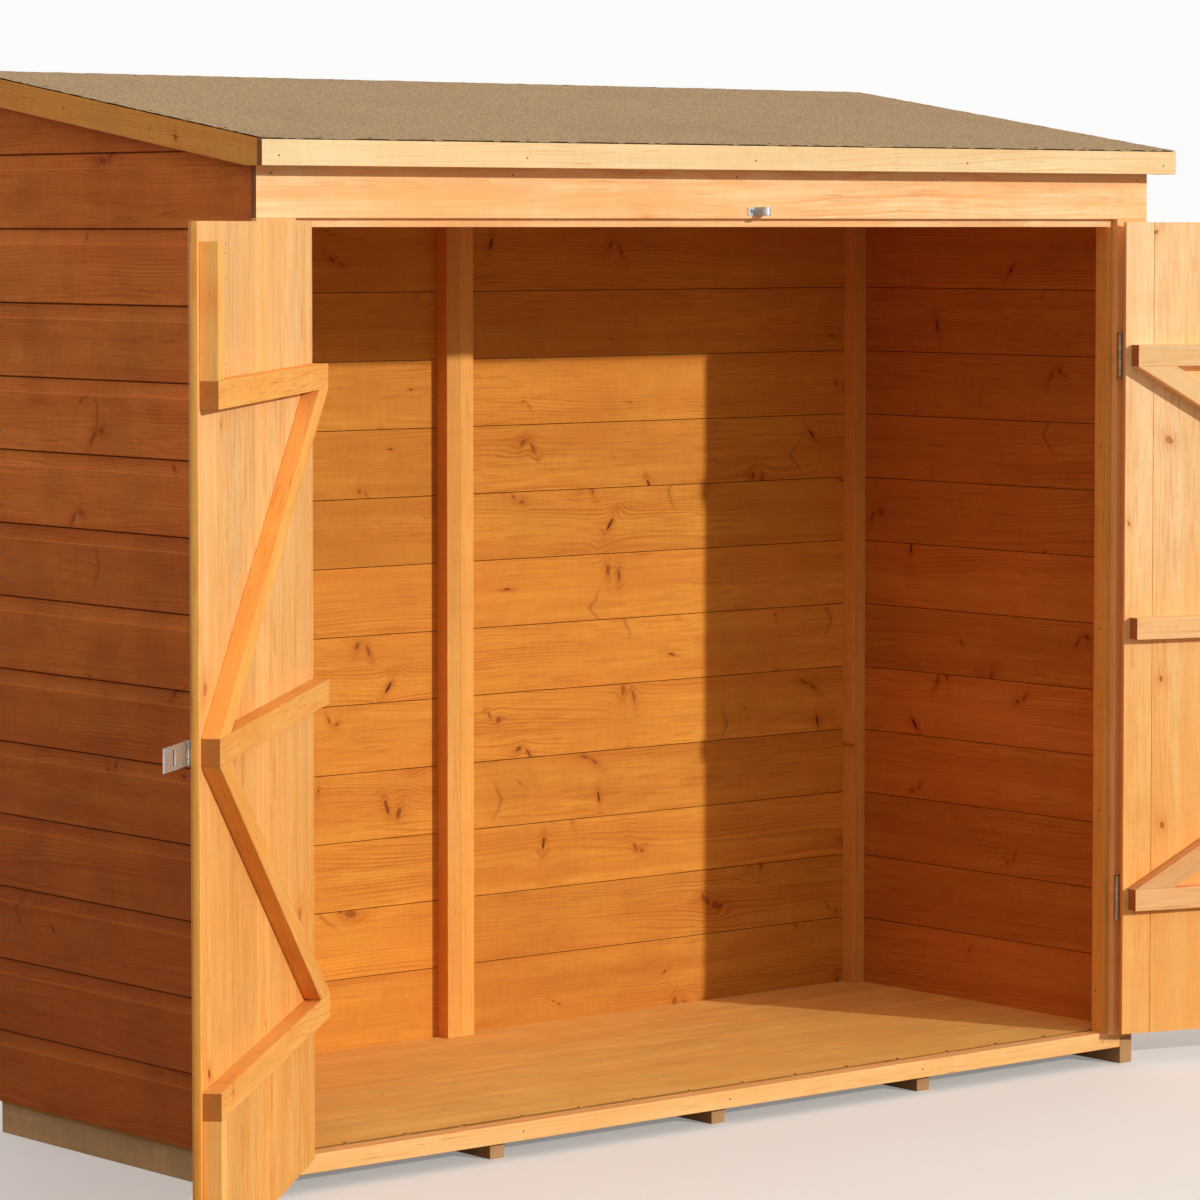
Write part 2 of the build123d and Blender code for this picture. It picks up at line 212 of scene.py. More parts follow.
def verts_in(geometry):
    return [g for g in geometry if isinstance(g, bmesh.types.BMVert)]


def edges_in(geometry):
    return [g for g in geometry if isinstance(g, bmesh.types.BMEdge)]


def merged(node):
    """A closed copy of a CAD node's mesh with its flat faces whole."""
    bm = blank()
    bm.from_mesh(nodes[node].data)
    bmesh.ops.remove_doubles(bm, verts=bm.verts, dist=WELD)
    bmesh.ops.dissolve_limit(bm, angle_limit=math.radians(FLAT_DEG), verts=bm.verts, edges=bm.edges)
    return bm


def islands(bm):
    """The groups of vertices that are joined to each other."""
    left = set(bm.verts)
    found = []
    while left:
        group = {left.pop()}
        reached = list(group)
        while reached:
            vert = reached.pop()
            for link in vert.link_edges:
                other = link.other_vert(vert)
                if other not in group:
                    group.add(other)
                    reached.append(other)
        left -= group
        found.append(group)
    found.sort(key=lambda g: tuple(round(c, 4) for c in min(v.co.to_tuple() for v in g)))
    return found


def extent(points):
    """The lowest and highest corners of a box round some points."""
    low = Vector(min(p[i] for p in points) for i in range(3))
    high = Vector(max(p[i] for p in points) for i in range(3))
    return low, high


def middle_of(points):
    """The middle of the box round some points."""
    low, high = extent(points)
    return (low + high) / 2


def side_x(box, hand):
    """Where a box's left side is, with hand -1, or its right side, with hand 1."""
    return box[0].x if hand < 0 else box[1].x


def box_in(node, place):
    """A node's lowest and highest corners in the frame of place."""
    back = place.inverted()
    return extent([back @ v.co for v in nodes[node].data.vertices])


def solids_in(node, place):
    """The corners of each solid of a node in the frame of place, from the lowest place up."""
    back = place.inverted()
    bm = merged(node)
    boxes = [extent([back @ v.co for v in group]) for group in islands(bm)]
    bm.free()
    return sorted(boxes, key=lambda b: (round(b[0].z, 3), round(b[0].x, 3), round(b[0].y, 3)))


def spaced(low, high, inset, count):
    """Places set evenly apart from low to high, and in from both by the inset."""
    step = (high - low - 2 * inset) / (count - 1)
    return [low + inset + i * step for i in range(count)]


def swung(joint_name, shut_end):
    """The matrix that takes a shut door to where it stands at rest. Its range's shut end is number 0 or 1."""
    joint = next(j for j in frame["joints"] if j["name"] == joint_name)
    pivot = Vector(joint["pos_m"])
    turn = Matrix.Rotation(math.radians(-joint["range_deg"][shut_end]), 4, "Z")
    return Matrix.Translation(pivot) @ turn @ Matrix.Translation(-pivot)


HERE = Matrix.Identity(4)
DOORS = {"left": swung("left_door_hinge", 1), "right": swung("right_door_hinge", 0)}

# The plane of the deck's underside
deck_verts = [v.co for v in nodes["roof_deck"].data.vertices]
deck_front_y = min(v.y for v in deck_verts)
deck_back_y = max(v.y for v in deck_verts)
deck_front_z = min(v.z for v in deck_verts if abs(v.y - deck_front_y) < MM)
deck_back_z = min(v.z for v in deck_verts if abs(v.y - deck_back_y) < MM)
ROOF_ANGLE = math.atan2(deck_back_z - deck_front_z, deck_back_y - deck_front_y)
ROOF_POINT = Vector((0, deck_front_y, deck_front_z))
ROOF = Matrix.Translation(ROOF_POINT) @ Matrix.Rotation(ROOF_ANGLE, 4, "X")
ROOF_NORMAL = ROOF.to_3x3() @ UP


# Node trees


class Tree:
    """Adds nodes to a tree and joins them up."""

    def __init__(self, tree):
        self.tree = tree

    def add(self, kind, inputs=(), **settings):
        node = self.tree.nodes.new(kind)
        for key, value in settings.items():
            setattr(node, key, value)
        for key, value in dict(inputs).items():
            self.feed(node.inputs[key], value)
        return node

    def feed(self, socket, value):
        if isinstance(value, bpy.types.NodeSocket):
            self.tree.links.new(value, socket)
        else:
            socket.default_value = value

    def feed_all(self, sockets, **values):
        """Feeds sockets by their names, with _ for each space."""
        for key, value in values.items():
            self.feed(sockets[key.replace("_", " ")], value)

    def math(self, operation, *values, clamp=False):
        inputs = dict(enumerate(values))
        return self.add("ShaderNodeMath", inputs, operation=operation, use_clamp=clamp).outputs[0]

    times = partialmethod(math, "MULTIPLY")
    plus = partialmethod(math, "ADD")
    times_plus = partialmethod(math, "MULTIPLY_ADD")
    minus = partialmethod(math, "SUBTRACT")
    over = partialmethod(math, "DIVIDE")
    power = partialmethod(math, "POWER")
    size = partialmethod(math, "ABSOLUTE")
    fraction = partialmethod(math, "FRACT")
    below = partialmethod(math, "LESS_THAN")
    larger = partialmethod(math, "MAXIMUM")

    def vector(self, operation, *values):
        node = self.add("ShaderNodeVectorMath", dict(enumerate(values)), operation=operation)
        return node.outputs["Value" if operation == "LENGTH" else "Vector"]

    def split(self, vector):
        return self.add("ShaderNodeSeparateXYZ", {"Vector": vector}).outputs

    def join(self, x, y, z):
        return self.add("ShaderNodeCombineXYZ", {"X": x, "Y": y, "Z": z}).outputs[0]

    def noise(self, vector, scale, detail=2.0, roughness=0.5):
        values = {"Vector": vector, "Scale": scale, "Detail": detail, "Roughness": roughness}
        return self.add("ShaderNodeTexNoise", values).outputs["Fac"]

    def between(self, value, low, high, to_low=0.0, to_high=1.0, smooth=True):
        kind = "SMOOTHSTEP" if smooth else "LINEAR"
        values = {"Value": value, "From Min": low, "From Max": high, "To Min": to_low, "To Max": to_high}
        return self.add("ShaderNodeMapRange", values, interpolation_type=kind).outputs["Result"]

    def mix(self, factor, a, b, blend="MIX"):
        inputs = {0: factor, 6: a, 7: b}
        return self.add("ShaderNodeMix", inputs, data_type="RGBA", blend_type=blend).outputs[2]

    def tinted(self, share, color, tint):
        """A colour, multiplied by a tint as far as the share says."""
        return self.mix(share, color, self.mix(1.0, color, tint, "MULTIPLY"))

    def mark(self, name):
        """A number that each vertex or face carries."""
        return self.add("ShaderNodeAttribute", attribute_name=name).outputs["Fac"]

    def place(self):
        """Where a point lies on the whole store."""
        return self.add("ShaderNodeTexCoord").outputs["Object"]

    def bump(self, height, distance, strength=1.0, normal=None):
        values = {"Height": height, "Distance": distance, "Strength": strength}
        if normal is not None:
            values["Normal"] = normal
        return self.add("ShaderNodeBump", values).outputs["Normal"]


def group(name, inputs, outputs):
    """A new shader node group: its builder and its two end nodes. Its sockets are listed by their kind."""
    tree = bpy.data.node_groups.new(name, "ShaderNodeTree")
    for way, kinds in (("INPUT", inputs), ("OUTPUT", outputs)):
        for kind, labels in kinds.items():
            for label in labels:
                tree.interface.new_socket(label, in_out=way, socket_type="NodeSocket" + kind)
    build = Tree(tree)
    return build, build.add("NodeGroupInput").outputs, build.add("NodeGroupOutput").inputs


def use(t, name, **values):
    """Places a node group in a tree and returns its outputs."""
    node = t.add("ShaderNodeGroup", node_tree=bpy.data.node_groups[name])
    t.feed_all(node.inputs, **values)
    return node.outputs


def cells_of(t, along, across, per_along, per_across):
    """Scattered spots on a board: the way from the nearest one, and its own three random numbers."""
    spot = t.join(t.times(along, per_along), t.times(across, per_across), 0.0)
    cells = t.add(
        "ShaderNodeTexVoronoi", {"Vector": spot, "Scale": 1.0, "Randomness": 0.85}, voronoi_dimensions="2D"
    ).outputs
    lottery = t.add("ShaderNodeSeparateColor", {"Color": cells["Color"]}).outputs
    away = t.split(t.vector("SUBTRACT", spot, cells["Position"]))
    return t.over(away[0], per_along), t.over(away[1], per_across), lottery


def softwood_group():
    """Growth rings, bands, fibres, resin dashes and knots in a board's own coordinates.

    Where Spike Share is above 0, some knots are slits that stand in pairs.
    """
    t, given, out = group(
        "softwood",
        {"Vector": ("Grain",), "Float": ("Ring Width", "Knot Share", "Knot Spacing", "Spike Share")},
        {"Float": ("Rings", "Bands", "Fibre", "Fleck", "Dash", "Knot", "Rim", "Halo", "Spike", "Marks")},
    )
    grain = given["Grain"]
    along, across, through = t.split(grain)[:3]

    def stretched(x, y, detail=2.0, roughness=0.5):
        return t.noise(t.vector("MULTIPLY", grain, (x, y, y)), 1.0, detail, roughness)

    spacing, spikes = given["Knot Spacing"], given["Spike Share"]
    per_along, per_across = t.over(KNOTS_ALONG, spacing), t.over(KNOTS_ACROSS, spacing)
    off_x, off_y, lottery = cells_of(t, along, across, per_along, per_across)
    paired = t.below(lottery[2], t.times(spikes, PAIR_SHARE))
    off_y = t.times_plus(off_x, t.times(paired, PAIR_SLANT), off_y)
    apart = t.minus(t.size(off_x), t.times_plus(lottery[1], PAIR_MORE, PAIR_LEAST))
    off_x = t.times_plus(t.minus(apart, off_x), paired, off_x)
    lean = t.times(lottery[1], 6.28)
    turn = {"Vector": t.join(off_x, off_y, 0.0), "Angle": lean}
    turned = t.split(t.add("ShaderNodeVectorRotate", turn, rotation_type="Z_AXIS").outputs[0])
    slit = t.times_plus(spikes, SLIT_FLATNESS, 1.0)
    flat = t.times_plus(t.plus(lottery[2], spikes), slit, 1.0)
    distance = t.vector("LENGTH", t.join(turned[0], t.times(turned[1], flat), 0.0))
    for scale, amount in ((130.0, 0.0075), (48.0, 0.0070)):
        ragged = t.minus(t.noise(grain, scale, 2.0, 0.6), 0.5)
        distance = t.times_plus(ragged, amount, distance)
    present = t.below(lottery[0], given["Knot Share"])
    radius = t.times_plus(t.power(lottery[1], 1.8), KNOT_MORE_R, KNOT_LEAST_R)
    edge = t.over(distance, radius)
    near = t.over(1.0, t.plus(1.0, t.power(t.times(edge, 0.30), 2.4)))
    near = t.times(near, present)
    wander = t.times(t.minus(stretched(1.4, 5.0), 0.5), 0.07)
    bent = t.minus(across, t.times(off_y, t.times(near, 0.86)))
    bent = t.plus(bent, wander)
    pith = t.vector("LENGTH", t.join(bent, t.plus(through, PITH_DEPTH), 0.0))
    pith = t.times_plus(along, PITH_DRIFT, pith)
    tremble = stretched(6.0, 45.0)
    count = t.times_plus(tremble, 1.1, t.over(pith, given["Ring Width"]))
    phase = t.fraction(count)
    late = t.times(t.between(phase, 0.20, 0.88), t.between(phase, 1.0, 0.90))
    strength = t.noise(t.join(t.math("FLOOR", count), 0.0, 3.7), 0.9, 0.0)
    clear = t.between(stretched(2.2, 9.0, 1.0), 0.40, 0.64, 0.16, 1.0)
    clear = t.plus(clear, t.times(near, 1.1))
    rings = t.times(late, t.between(strength, 0.30, 0.72, 0.25, 1.0))
    rings = t.times(rings, clear, clamp=True)
    short = stretched(24.0, 420.0, 1.0)
    long = stretched(8.0, 260.0, 1.0)
    fleck = t.plus(t.between(short, 0.70, 0.80), t.between(long, 0.69, 0.82), clamp=True)
    dash = t.times(t.between(stretched(15.0, 165.0, 1.0), 0.50, 0.66),
                  t.between(stretched(2.0, 24.0, 1.0), 0.38, 0.60, 0.15, 1.0))
    heart = t.times(t.between(edge, 1.12, 0.80), present)
    knot_rings = t.between(t.fraction(t.over(distance, KNOT_RING)), 0.2, 1.0)
    dead = t.between(lottery[2], 0.45, 0.60)
    rim = t.times(t.between(edge, 0.78, 0.98), t.between(edge, 1.20, 1.04))
    rim = t.times(t.times(rim, present), t.times_plus(dead, 0.65, 0.35))
    spike_x, spike_y, draw = cells_of(t, t.plus(along, 3.1), t.plus(across, 1.7), SPIKES_ALONG, SPIKES_ACROSS)
    reach = t.size(spike_y)
    slant = t.times(reach, t.times_plus(draw[1], 2.2, -1.1))
    bow = t.times(t.minus(t.noise(grain, 17.0, 2.0), 0.5), 0.034)
    off_line = t.size(t.plus(t.minus(spike_x, slant), bow))
    spike = t.times(t.between(off_line, SPIKE_HALF_W, 0.8 * MM), t.between(reach, SPIKE_REACH, 8.0 * MM))
    spike = t.times(spike, t.below(draw[0], spikes))
    strokes = t.times_plus(stretched(95.0, 30.0, 3.0), 0.35, t.times(stretched(6.0, 15.0), 0.65))
    t.feed_all(
        out, Fleck=fleck, Dash=dash, Rim=rim, Spike=spike,
        Rings=t.times_plus(t.times(heart, knot_rings), 0.6, rings),
        Bands=t.between(stretched(1.3, 30.0, 3.0, 0.6), 0.36, 0.66),
        Fibre=stretched(9.0, 700.0, 2.0, 0.6),
        Knot=t.times(heart, t.times_plus(dead, 0.45, 0.55)),
        Halo=t.power(near, 1.5),
        Marks=t.between(strokes, 0.32, 0.68, smooth=False),
    )


def board_tone_group():
    """Darker and lighter boards, and stain that lies unevenly."""
    t, given, out = group(
        "board_tone",
        {"Color": ("Color", "Stain"), "Float": ("Tone", "Spread"), "Vector": ("Position",)},
        {"Color": ("Color",)},
    )
    patches = t.noise(given["Position"], 2.6, 3.0, 0.6)
    small = t.noise(given["Position"], 23.0, 3.0, 0.65)
    soak = t.plus(t.times(patches, 0.7), t.times(small, 0.3))
    soak = t.between(soak, 0.36, 0.66, 0.0, 0.60)
    value = t.times_plus(t.minus(given["Tone"], 0.5), given["Spread"], 1.0)
    stained = t.mix(soak, given["Color"], given["Stain"])
    t.feed_all(out, Color=t.mix(1.0, stained, t.join(value, value, value), "MULTIPLY"))


def grit_group():
    """Mineral grains of several colours in bitumen."""
    t, given, out = group(
        "mineral_grit",
        {"Vector": ("Position",), "Color": ("Pale", "Mid", "Dark")},
        {"Color": ("Color",), "Float": ("Height",)},
    )
    grains = t.add("ShaderNodeTexVoronoi", {"Vector": given["Position"], "Scale": 620.0}).outputs
    pick = t.add("ShaderNodeSeparateColor", {"Color": grains["Color"]}).outputs
    color = t.mix(t.between(pick[0], 0.35, 0.55), given["Mid"], given["Pale"])
    color = t.mix(t.between(pick[1], 0.80, 0.86), color, given["Dark"])
    patches = t.noise(given["Position"], 3.2, 4.0, 0.62)
    color = t.mix(t.between(patches, 0.42, 0.70, 0.0, 0.12), color, given["Dark"])
    t.feed_all(out, Color=color, Height=t.minus(1.0, t.times(grains["Distance"], 1.4)))


# Materials


def srgb(*parts):
    """A colour as read off a screen, made linear for the shader."""
    shares = [part / 255 for part in parts]
    return (*(v / 12.92 if v <= 0.04045 else ((v + 0.055) / 1.055) ** 2.4 for v in shares), 1.0)


def new_material(name):
    """A material with its builder and the sockets of its principled shader."""
    material = bpy.data.materials.new(name)
    material.use_nodes = True
    material.node_tree.nodes.clear()
    t = Tree(material.node_tree)
    shader = t.add("ShaderNodeBsdfPrincipled")
    t.add("ShaderNodeOutputMaterial", {"Surface": shader.outputs["BSDF"]})
    return material, t, shader.inputs


def scaled(color, shares):
    """A colour with its three parts multiplied by three shares."""
    return tuple(part * share for part, share in zip(color, shares)) + (1.0,)


def wood(
    name, colors, ring_width=0.0042, knots=0.35, inside=(1, 1, 1), spread=0.24, sawn=0.0, contrast=0.5, bands=0.5,
    flecks=0.4, dashes=0.2, spacing=1.0, spikes=0.0, marks=0.3, ends=0.45, outside=None, lower=None, edges=None,
):
    """Dip-treated softwood. Its pattern follows each board, with sawn marks where sawn is above 0.

    Its five colours are those of the pale wood, rings, stain, knots and darkest marks. The shares inside,
    outside, lower and edges are multiplied in everywhere, on weathered faces, towards the ground and on the
    boards' narrow sides. The edges shares are painted light on those sides, and on the outer wall boards the
    lower shares are painted shade.
    """
    pale, ring, stain, knot, deep = (scaled(srgb(*color), inside) for color in colors)
    material, t, surface = new_material(name)
    grain = t.add("ShaderNodeAttribute", attribute_name="grain").outputs["Vector"]
    figure = use(
        t, "softwood", Grain=grain, Ring_Width=ring_width, Knot_Share=knots, Knot_Spacing=spacing, Spike_Share=spikes
    )
    tone = t.times_plus(t.minus(figure["Marks"], 0.5), marks / spread, t.mark("tone"))
    color = t.mix(t.times(figure["Bands"], bands), pale, stain)
    color = t.mix(t.times(figure["Rings"], contrast), color, ring)
    color = t.mix(t.between(figure["Fibre"], 0.30, 0.75, 0.0, 0.26), color, ring)
    color = t.mix(t.times(figure["Dash"], dashes), color, ring)
    position = t.place()
    color = use(t, "board_tone", Color=color, Stain=stain, Tone=tone, Spread=spread, Position=position)[0]
    color = t.mix(t.times(figure["Halo"], 0.5), color, ring)
    # Marks mixed in: flecks, spikes, knots, knot rims, end grain, and a painted highlight on arrises.
    for mask, share, mark_color in (
        (figure["Fleck"], flecks, deep), (figure["Spike"], 0.30, deep), (figure["Knot"], 0.84, knot),
        (figure["Rim"], 0.80, deep), (t.mark("end"), ends, deep), (t.mark("arris_highlight"), 0.55, pale),
    ):
        color = t.mix(t.times(mask, share), color, mark_color)
    # Painted light: the boards' narrow sides are brightened.
    if edges:
        color = t.tinted(t.mark("side"), color, (*edges, 1))
    weathered = 1.0
    if outside:
        weathered = t.mark("outer")
        patches = t.between(t.noise(position, 7.0, 3.0, 0.6), 0.40, 0.64)
        color = t.tinted(weathered, color, t.mix(patches, (*outside, 1), scaled(outside, DRAB)))
    if lower:
        # Darker towards the ground by the lower shares; on the outer wall boards this is painted shade.
        low_down = t.times(t.between(t.split(position)[2], DARKENING_FROM, DARKENING_TO), weathered)
        color = t.tinted(low_down, color, (*lower, 1))
    height = t.times_plus(figure["Rings"], 0.5, t.times(figure["Fibre"], 0.6))
    normal = t.bump(t.minus(height, t.times(figure["Fleck"], 0.5)), 0.3 * MM, 0.5)
    if sawn:
        wave = {"Vector": t.vector("MULTIPLY", grain, (1.0, 0.06, 0.06)), "Scale": 150.0, "Distortion": 1.2,
                "Detail": 2.0, "Detail Scale": 0.6}
        sawn_marks = t.add("ShaderNodeTexWave", wave, bands_direction="X").outputs["Fac"]
        normal = t.bump(sawn_marks, 0.3 * MM, sawn, normal)
    rough = t.times_plus(figure["Fibre"], 0.16, 0.66)
    # The groove mark darkens grooves and joints towards the darkest colour: dirt and painted shade.
    t.feed_all(
        surface, Base_Color=t.mix(t.times(t.mark("grime_and_shade"), 0.6), color, deep),
        Roughness=t.minus(rough, t.times(figure["Knot"], 0.10)), Normal=normal, Specular_IOR_Level=MATT,
    )
    return material


def shiplap_wood(name, inside, outside, spacing):
    """Wall boards, tinted by one set of shares on every face and by another on the weathered outer faces; where the
    inside shares darken, that is painted shade.
    """
    return wood(
        name, ((228, 158, 62), (176, 91, 26), (209, 128, 48), (104, 44, 18), (82, 34, 12)), 0.0054, 0.62, inside,
        contrast=0.58, bands=0.6, flecks=0.2, dashes=0.3, spacing=spacing, spikes=0.30, marks=0.15,
        # The lower shares darken the outer faces towards the ground: painted shade.
        outside=outside, lower=(0.66, 0.61, 0.52),
    )


def felt_material():
    """Sand-coloured mineral on top, and bare bitumen where the sheet was cut."""
    material, t, surface = new_material("mineral_felt")
    grit = use(t, "mineral_grit", Position=t.place(), Pale=srgb(199, 170, 131), Mid=srgb(177, 146, 109),
               Dark=srgb(120, 98, 72))
    t.feed_all(
        surface, Base_Color=t.mix(t.mark("end"), grit["Color"], srgb(78, 58, 40)), Roughness=0.93,
        Specular_IOR_Level=0.1, Normal=t.bump(grit["Height"], 0.7 * MM, 0.6),
    )
    return material


def metal(name, bright, dull, metallic, low, high):
    """Zinc plate with a faint bloom, or the darker steel of nails."""
    material, t, surface = new_material(name)
    position = t.place()
    fine = t.noise(t.vector("MULTIPLY", position, (900.0, 900.0, 240.0)), 1.0, 2.0)
    bloom = t.between(t.noise(position, 60.0, 4.0, 0.65), 0.38, 0.68)
    t.feed_all(
        surface, Base_Color=t.mix(bloom, srgb(*bright), srgb(*dull)), Metallic=metallic,
        Roughness=t.between(t.times_plus(fine, 0.35, bloom), 0.1, 1.2, low, high), Normal=t.bump(fine, 0.12 * MM, 0.4),
    )
    return material


softwood_group()
board_tone_group()
grit_group()

MATERIALS = {
    "cladding": shiplap_wood("back_shiplap_wood", (1, 1, 1), (1.12, 0.76, 1.06), 0.55),
    # The side walls' inner faces are darkened by their inside shares: painted shade; the outside shares bring their
    # outer faces back to the back walls' tint.
    "side_cladding": shiplap_wood("side_shiplap_wood", (0.76, 0.66, 0.95), (1.50, 1.17, 1.14), 0.72),
    "framing": wood(
        "framing_wood", ((246, 184, 98), (210, 134, 56), (230, 155, 73), (124, 62, 26), (118, 58, 22)),
        0.0036, 0.20, sawn=0.5, contrast=0.4, marks=0.10,
    ),
    "trim": wood(
        "trim_wood", ((255, 232, 184), (240, 182, 114), (250, 208, 148), (190, 104, 42), (140, 66, 22)),
        0.0042, 0.45, bands=0.6, flecks=0.2, dashes=0.3, spacing=0.8, marks=0.10, ends=0.9,
    ),
    "header": wood(
        "header_wood", ((255, 224, 172), (230, 142, 72), (245, 176, 108), (166, 90, 38), (140, 66, 22)),
        0.0048, 0.50, bands=0.6, flecks=0.25, dashes=0.3, spacing=0.8, spikes=0.2, marks=0.16, ends=0.9,
    ),
    "barge": wood(
        "barge_wood", ((255, 184, 92), (216, 116, 40), (244, 148, 62), (132, 66, 22), (104, 48, 16)),
        0.0040, 0.40, marks=0.16,
    ),
    # The left door's boards carry painted light on their narrow sides, which brightens the door's free edge.
    "door_boards": wood(
        "door_board_wood", ((253, 208, 147), (216, 126, 50), (244, 176, 100), (160, 86, 34), (140, 70, 26)),
        0.0042, 0.50, contrast=0.40, flecks=0.3, dashes=0.5, marks=0.10, lower=(0.95, 0.80, 0.50),
        edges=(1.14, 1.06, 0.62),
    ),
    "pale_door_boards": wood(
        "pale_door_board_wood", ((255, 225, 176), (228, 146, 70), (250, 194, 126), (178, 108, 46), (146, 76, 30)),
        0.0042, 0.72, contrast=0.40, flecks=0.2, dashes=0.32, spacing=0.85, marks=0.10, lower=(0.95, 0.72, 0.42),
    ),
    "door_ledges": wood(
        "ledge_wood", ((255, 221, 168), (236, 162, 88), (252, 196, 126), (160, 86, 34), (150, 70, 22)),
        0.0034, 0.25, spread=0.16, sawn=0.22, contrast=0.40, dashes=0.3, marks=0.10, ends=0.75,
        lower=(0.96, 0.80, 0.70),
    ),
    "left_ledges": wood(
        "orange_ledge_wood", ((253, 190, 104), (218, 124, 44), (244, 164, 74), (146, 74, 26), (158, 76, 20)),
        0.0034, 0.26, spread=0.16, sawn=0.22, contrast=0.42, dashes=0.3, marks=0.10, ends=0.7,
    ),
    # Paler wood for the left door's edge battens, partly painted light that brightens their shaded sides.
    "left_edge_battens": wood(
        "edge_batten_wood", ((255, 201, 116), (238, 150, 68), (254, 182, 94), (146, 74, 26), (158, 76, 20)),
        0.0034, 0.26, spread=0.10, sawn=0.1, contrast=0.30, dashes=0.3, marks=0.06, ends=0.7,
    ),
    "floor": wood(
        "floor_wood", ((255, 212, 122), (216, 138, 60), (242, 178, 92), (160, 92, 38), (112, 58, 22)),
        0.0120, 0.10, flecks=0.12, dashes=0.15, marks=0.16,
    ),
    "bearers": wood(
        "bearer_wood", ((222, 178, 128), (190, 138, 86), (196, 150, 104), (136, 84, 44), (168, 124, 82)),
        0.0036, 0.16, sawn=0.5, contrast=0.4,
    ),
    "threshold": wood(
        "threshold_wood", ((255, 204, 138), (228, 148, 76), (246, 180, 108), (164, 90, 36), (110, 54, 20)),
        0.0040, 0.30, contrast=0.42, dashes=0.3, marks=0.10,
    ),
    "roof_boards": wood(
        "deck_wood", ((232, 178, 116), (202, 138, 76), (214, 156, 92), (130, 72, 34), (104, 56, 26)),
        0.0044, 0.45,
    ),
    "felt": felt_material(),
    "zinc": metal("zinc_plate", (206, 206, 204), (168, 170, 172), 0.85, 0.26, 0.46),
    "dull_zinc": metal("dull_zinc_plate", (170, 146, 124), (140, 116, 96), 0.7, 0.40, 0.60),
    "nail": metal("nail_steel", (74, 50, 34), (48, 32, 22), 0.25, 0.45, 0.65),
    "screw": metal("screw_steel", (190, 186, 176), (150, 144, 132), 0.85, 0.28, 0.45),
}

# The finishes of a door's boards, of its ledges and braces, and of its edge battens
DOOR_FINISHES = {
    "left": ("door_boards", "left_ledges", "left_edge_battens"),
    "right": ("pale_door_boards", "door_ledges", "door_ledges"),
}


# Making pieces


def linked(name, data):
    """A new object of the scene that shows a mesh, a lamp or a camera."""
    made = bpy.data.objects.new(name, data)
    bpy.context.scene.collection.objects.link(made)
    return made


def piece(name, bm, body, finish, replaces=()):
    """Makes a bmesh an object of the store that rides on a body."""
    bmesh.ops.recalc_face_normals(bm, faces=bm.faces)
    mesh = bpy.data.meshes.new(name)
    bm.to_mesh(mesh)
    bm.free()
    for polygon in mesh.polygons:
        polygon.use_smooth = False
    mesh.materials.append(MATERIALS[finish])
    made = linked(name, mesh)
    if replaces:
        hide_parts(*replaces)
    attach(made, body)


def mark_grain(bm, verts, axes, draw):
    """Writes each vertex's place in its own board, so that the grain runs along the board."""
    grain = bm.verts.layers.float_vector["grain"]
    tone = bm.verts.layers.float["tone"]
    back = axes.inverted()
    offset = Vector((draw.uniform(0, 40), draw.uniform(-0.05, 0.05), draw.uniform(-0.012, 0.03)))
    shade = draw.random()
    for vert in verts:
        vert[grain] = back @ vert.co + offset
        vert[tone] = shade
    faces = {f for v in verts for f in v.link_faces}
    for name, axis in zip(("end", "side"), axes.to_3x3().col):
        layer = bm.faces.layers.float[name]
        for face in faces:
            face.normal_update()
            face[layer] = 1.0 if abs(face.normal.dot(axis)) > SQUARE_ON else 0.0


def axes_of(points):
    """A board's own axes from its corners: along it, across it and through it."""
    co = np.array([p.to_tuple() for p in points])
    middle = co.mean(0)
    _, _, rows = np.linalg.svd(co - middle, full_matrices=False)
    along, across = Vector(rows[0]), Vector(rows[1])
    for axis in (along, across):
        if max(axis, key=abs) < 0:
            axis.negate()
    return frame_from(middle, along, across)


def frame_from(origin, along, across):
    """Axes with their origin at a place: along, across and the way through."""
    along, across = Vector(along).normalized(), Vector(across).normalized()
    turn = Matrix((along, across, along.cross(across))).transposed().to_4x4()
    return Matrix.Translation(Vector(origin)) @ turn


def ease_edges(bm, width, angle_deg=25.0):
    """Takes the sharpness off the edges of a solid."""
    sharp = [e for e in bm.edges if len(e.link_faces) == 2 and e.calc_face_angle(0) > math.radians(angle_deg)]
    bmesh.ops.bevel(
        bm, geom=sharp, offset=width, offset_type="OFFSET", segments=2, profile=0.5, material=-1,
        affect="EDGES", clamp_overlap=True,
    )


def cut_above(bm, point, normal):
    """Cuts everything on the far side of a plane away and closes the cut."""
    made = bmesh.ops.bisect_plane(
        bm, geom=everything(bm), plane_co=point, plane_no=normal, clear_outer=True, dist=1e-7
    )["geom_cut"]
    edges = edges_in(made)
    if edges:
        bmesh.ops.edgeloop_fill(bm, edges=edges)


def timber(node, body, finish, width=ARRIS, cuts=()):
    """A CAD timber with eased edges and grain along each of its solids."""
    draw = random.Random(node)
    bm = merged(node)
    for point, normal in cuts:
        cut_above(bm, point, normal)
    sharp = []
    for solid in islands(bm):
        points = [v.co for v in solid]
        sharp.append((middle_of(points), axes_of(points)))
    ease_edges(bm, width)
    for solid in islands(bm):
        middle = middle_of([v.co for v in solid])
        axes = min(sharp, key=lambda known: (known[0] - middle).length)[1]
        mark_grain(bm, solid, axes, draw)
    piece(node + "_dressed", bm, body, finish, [node])


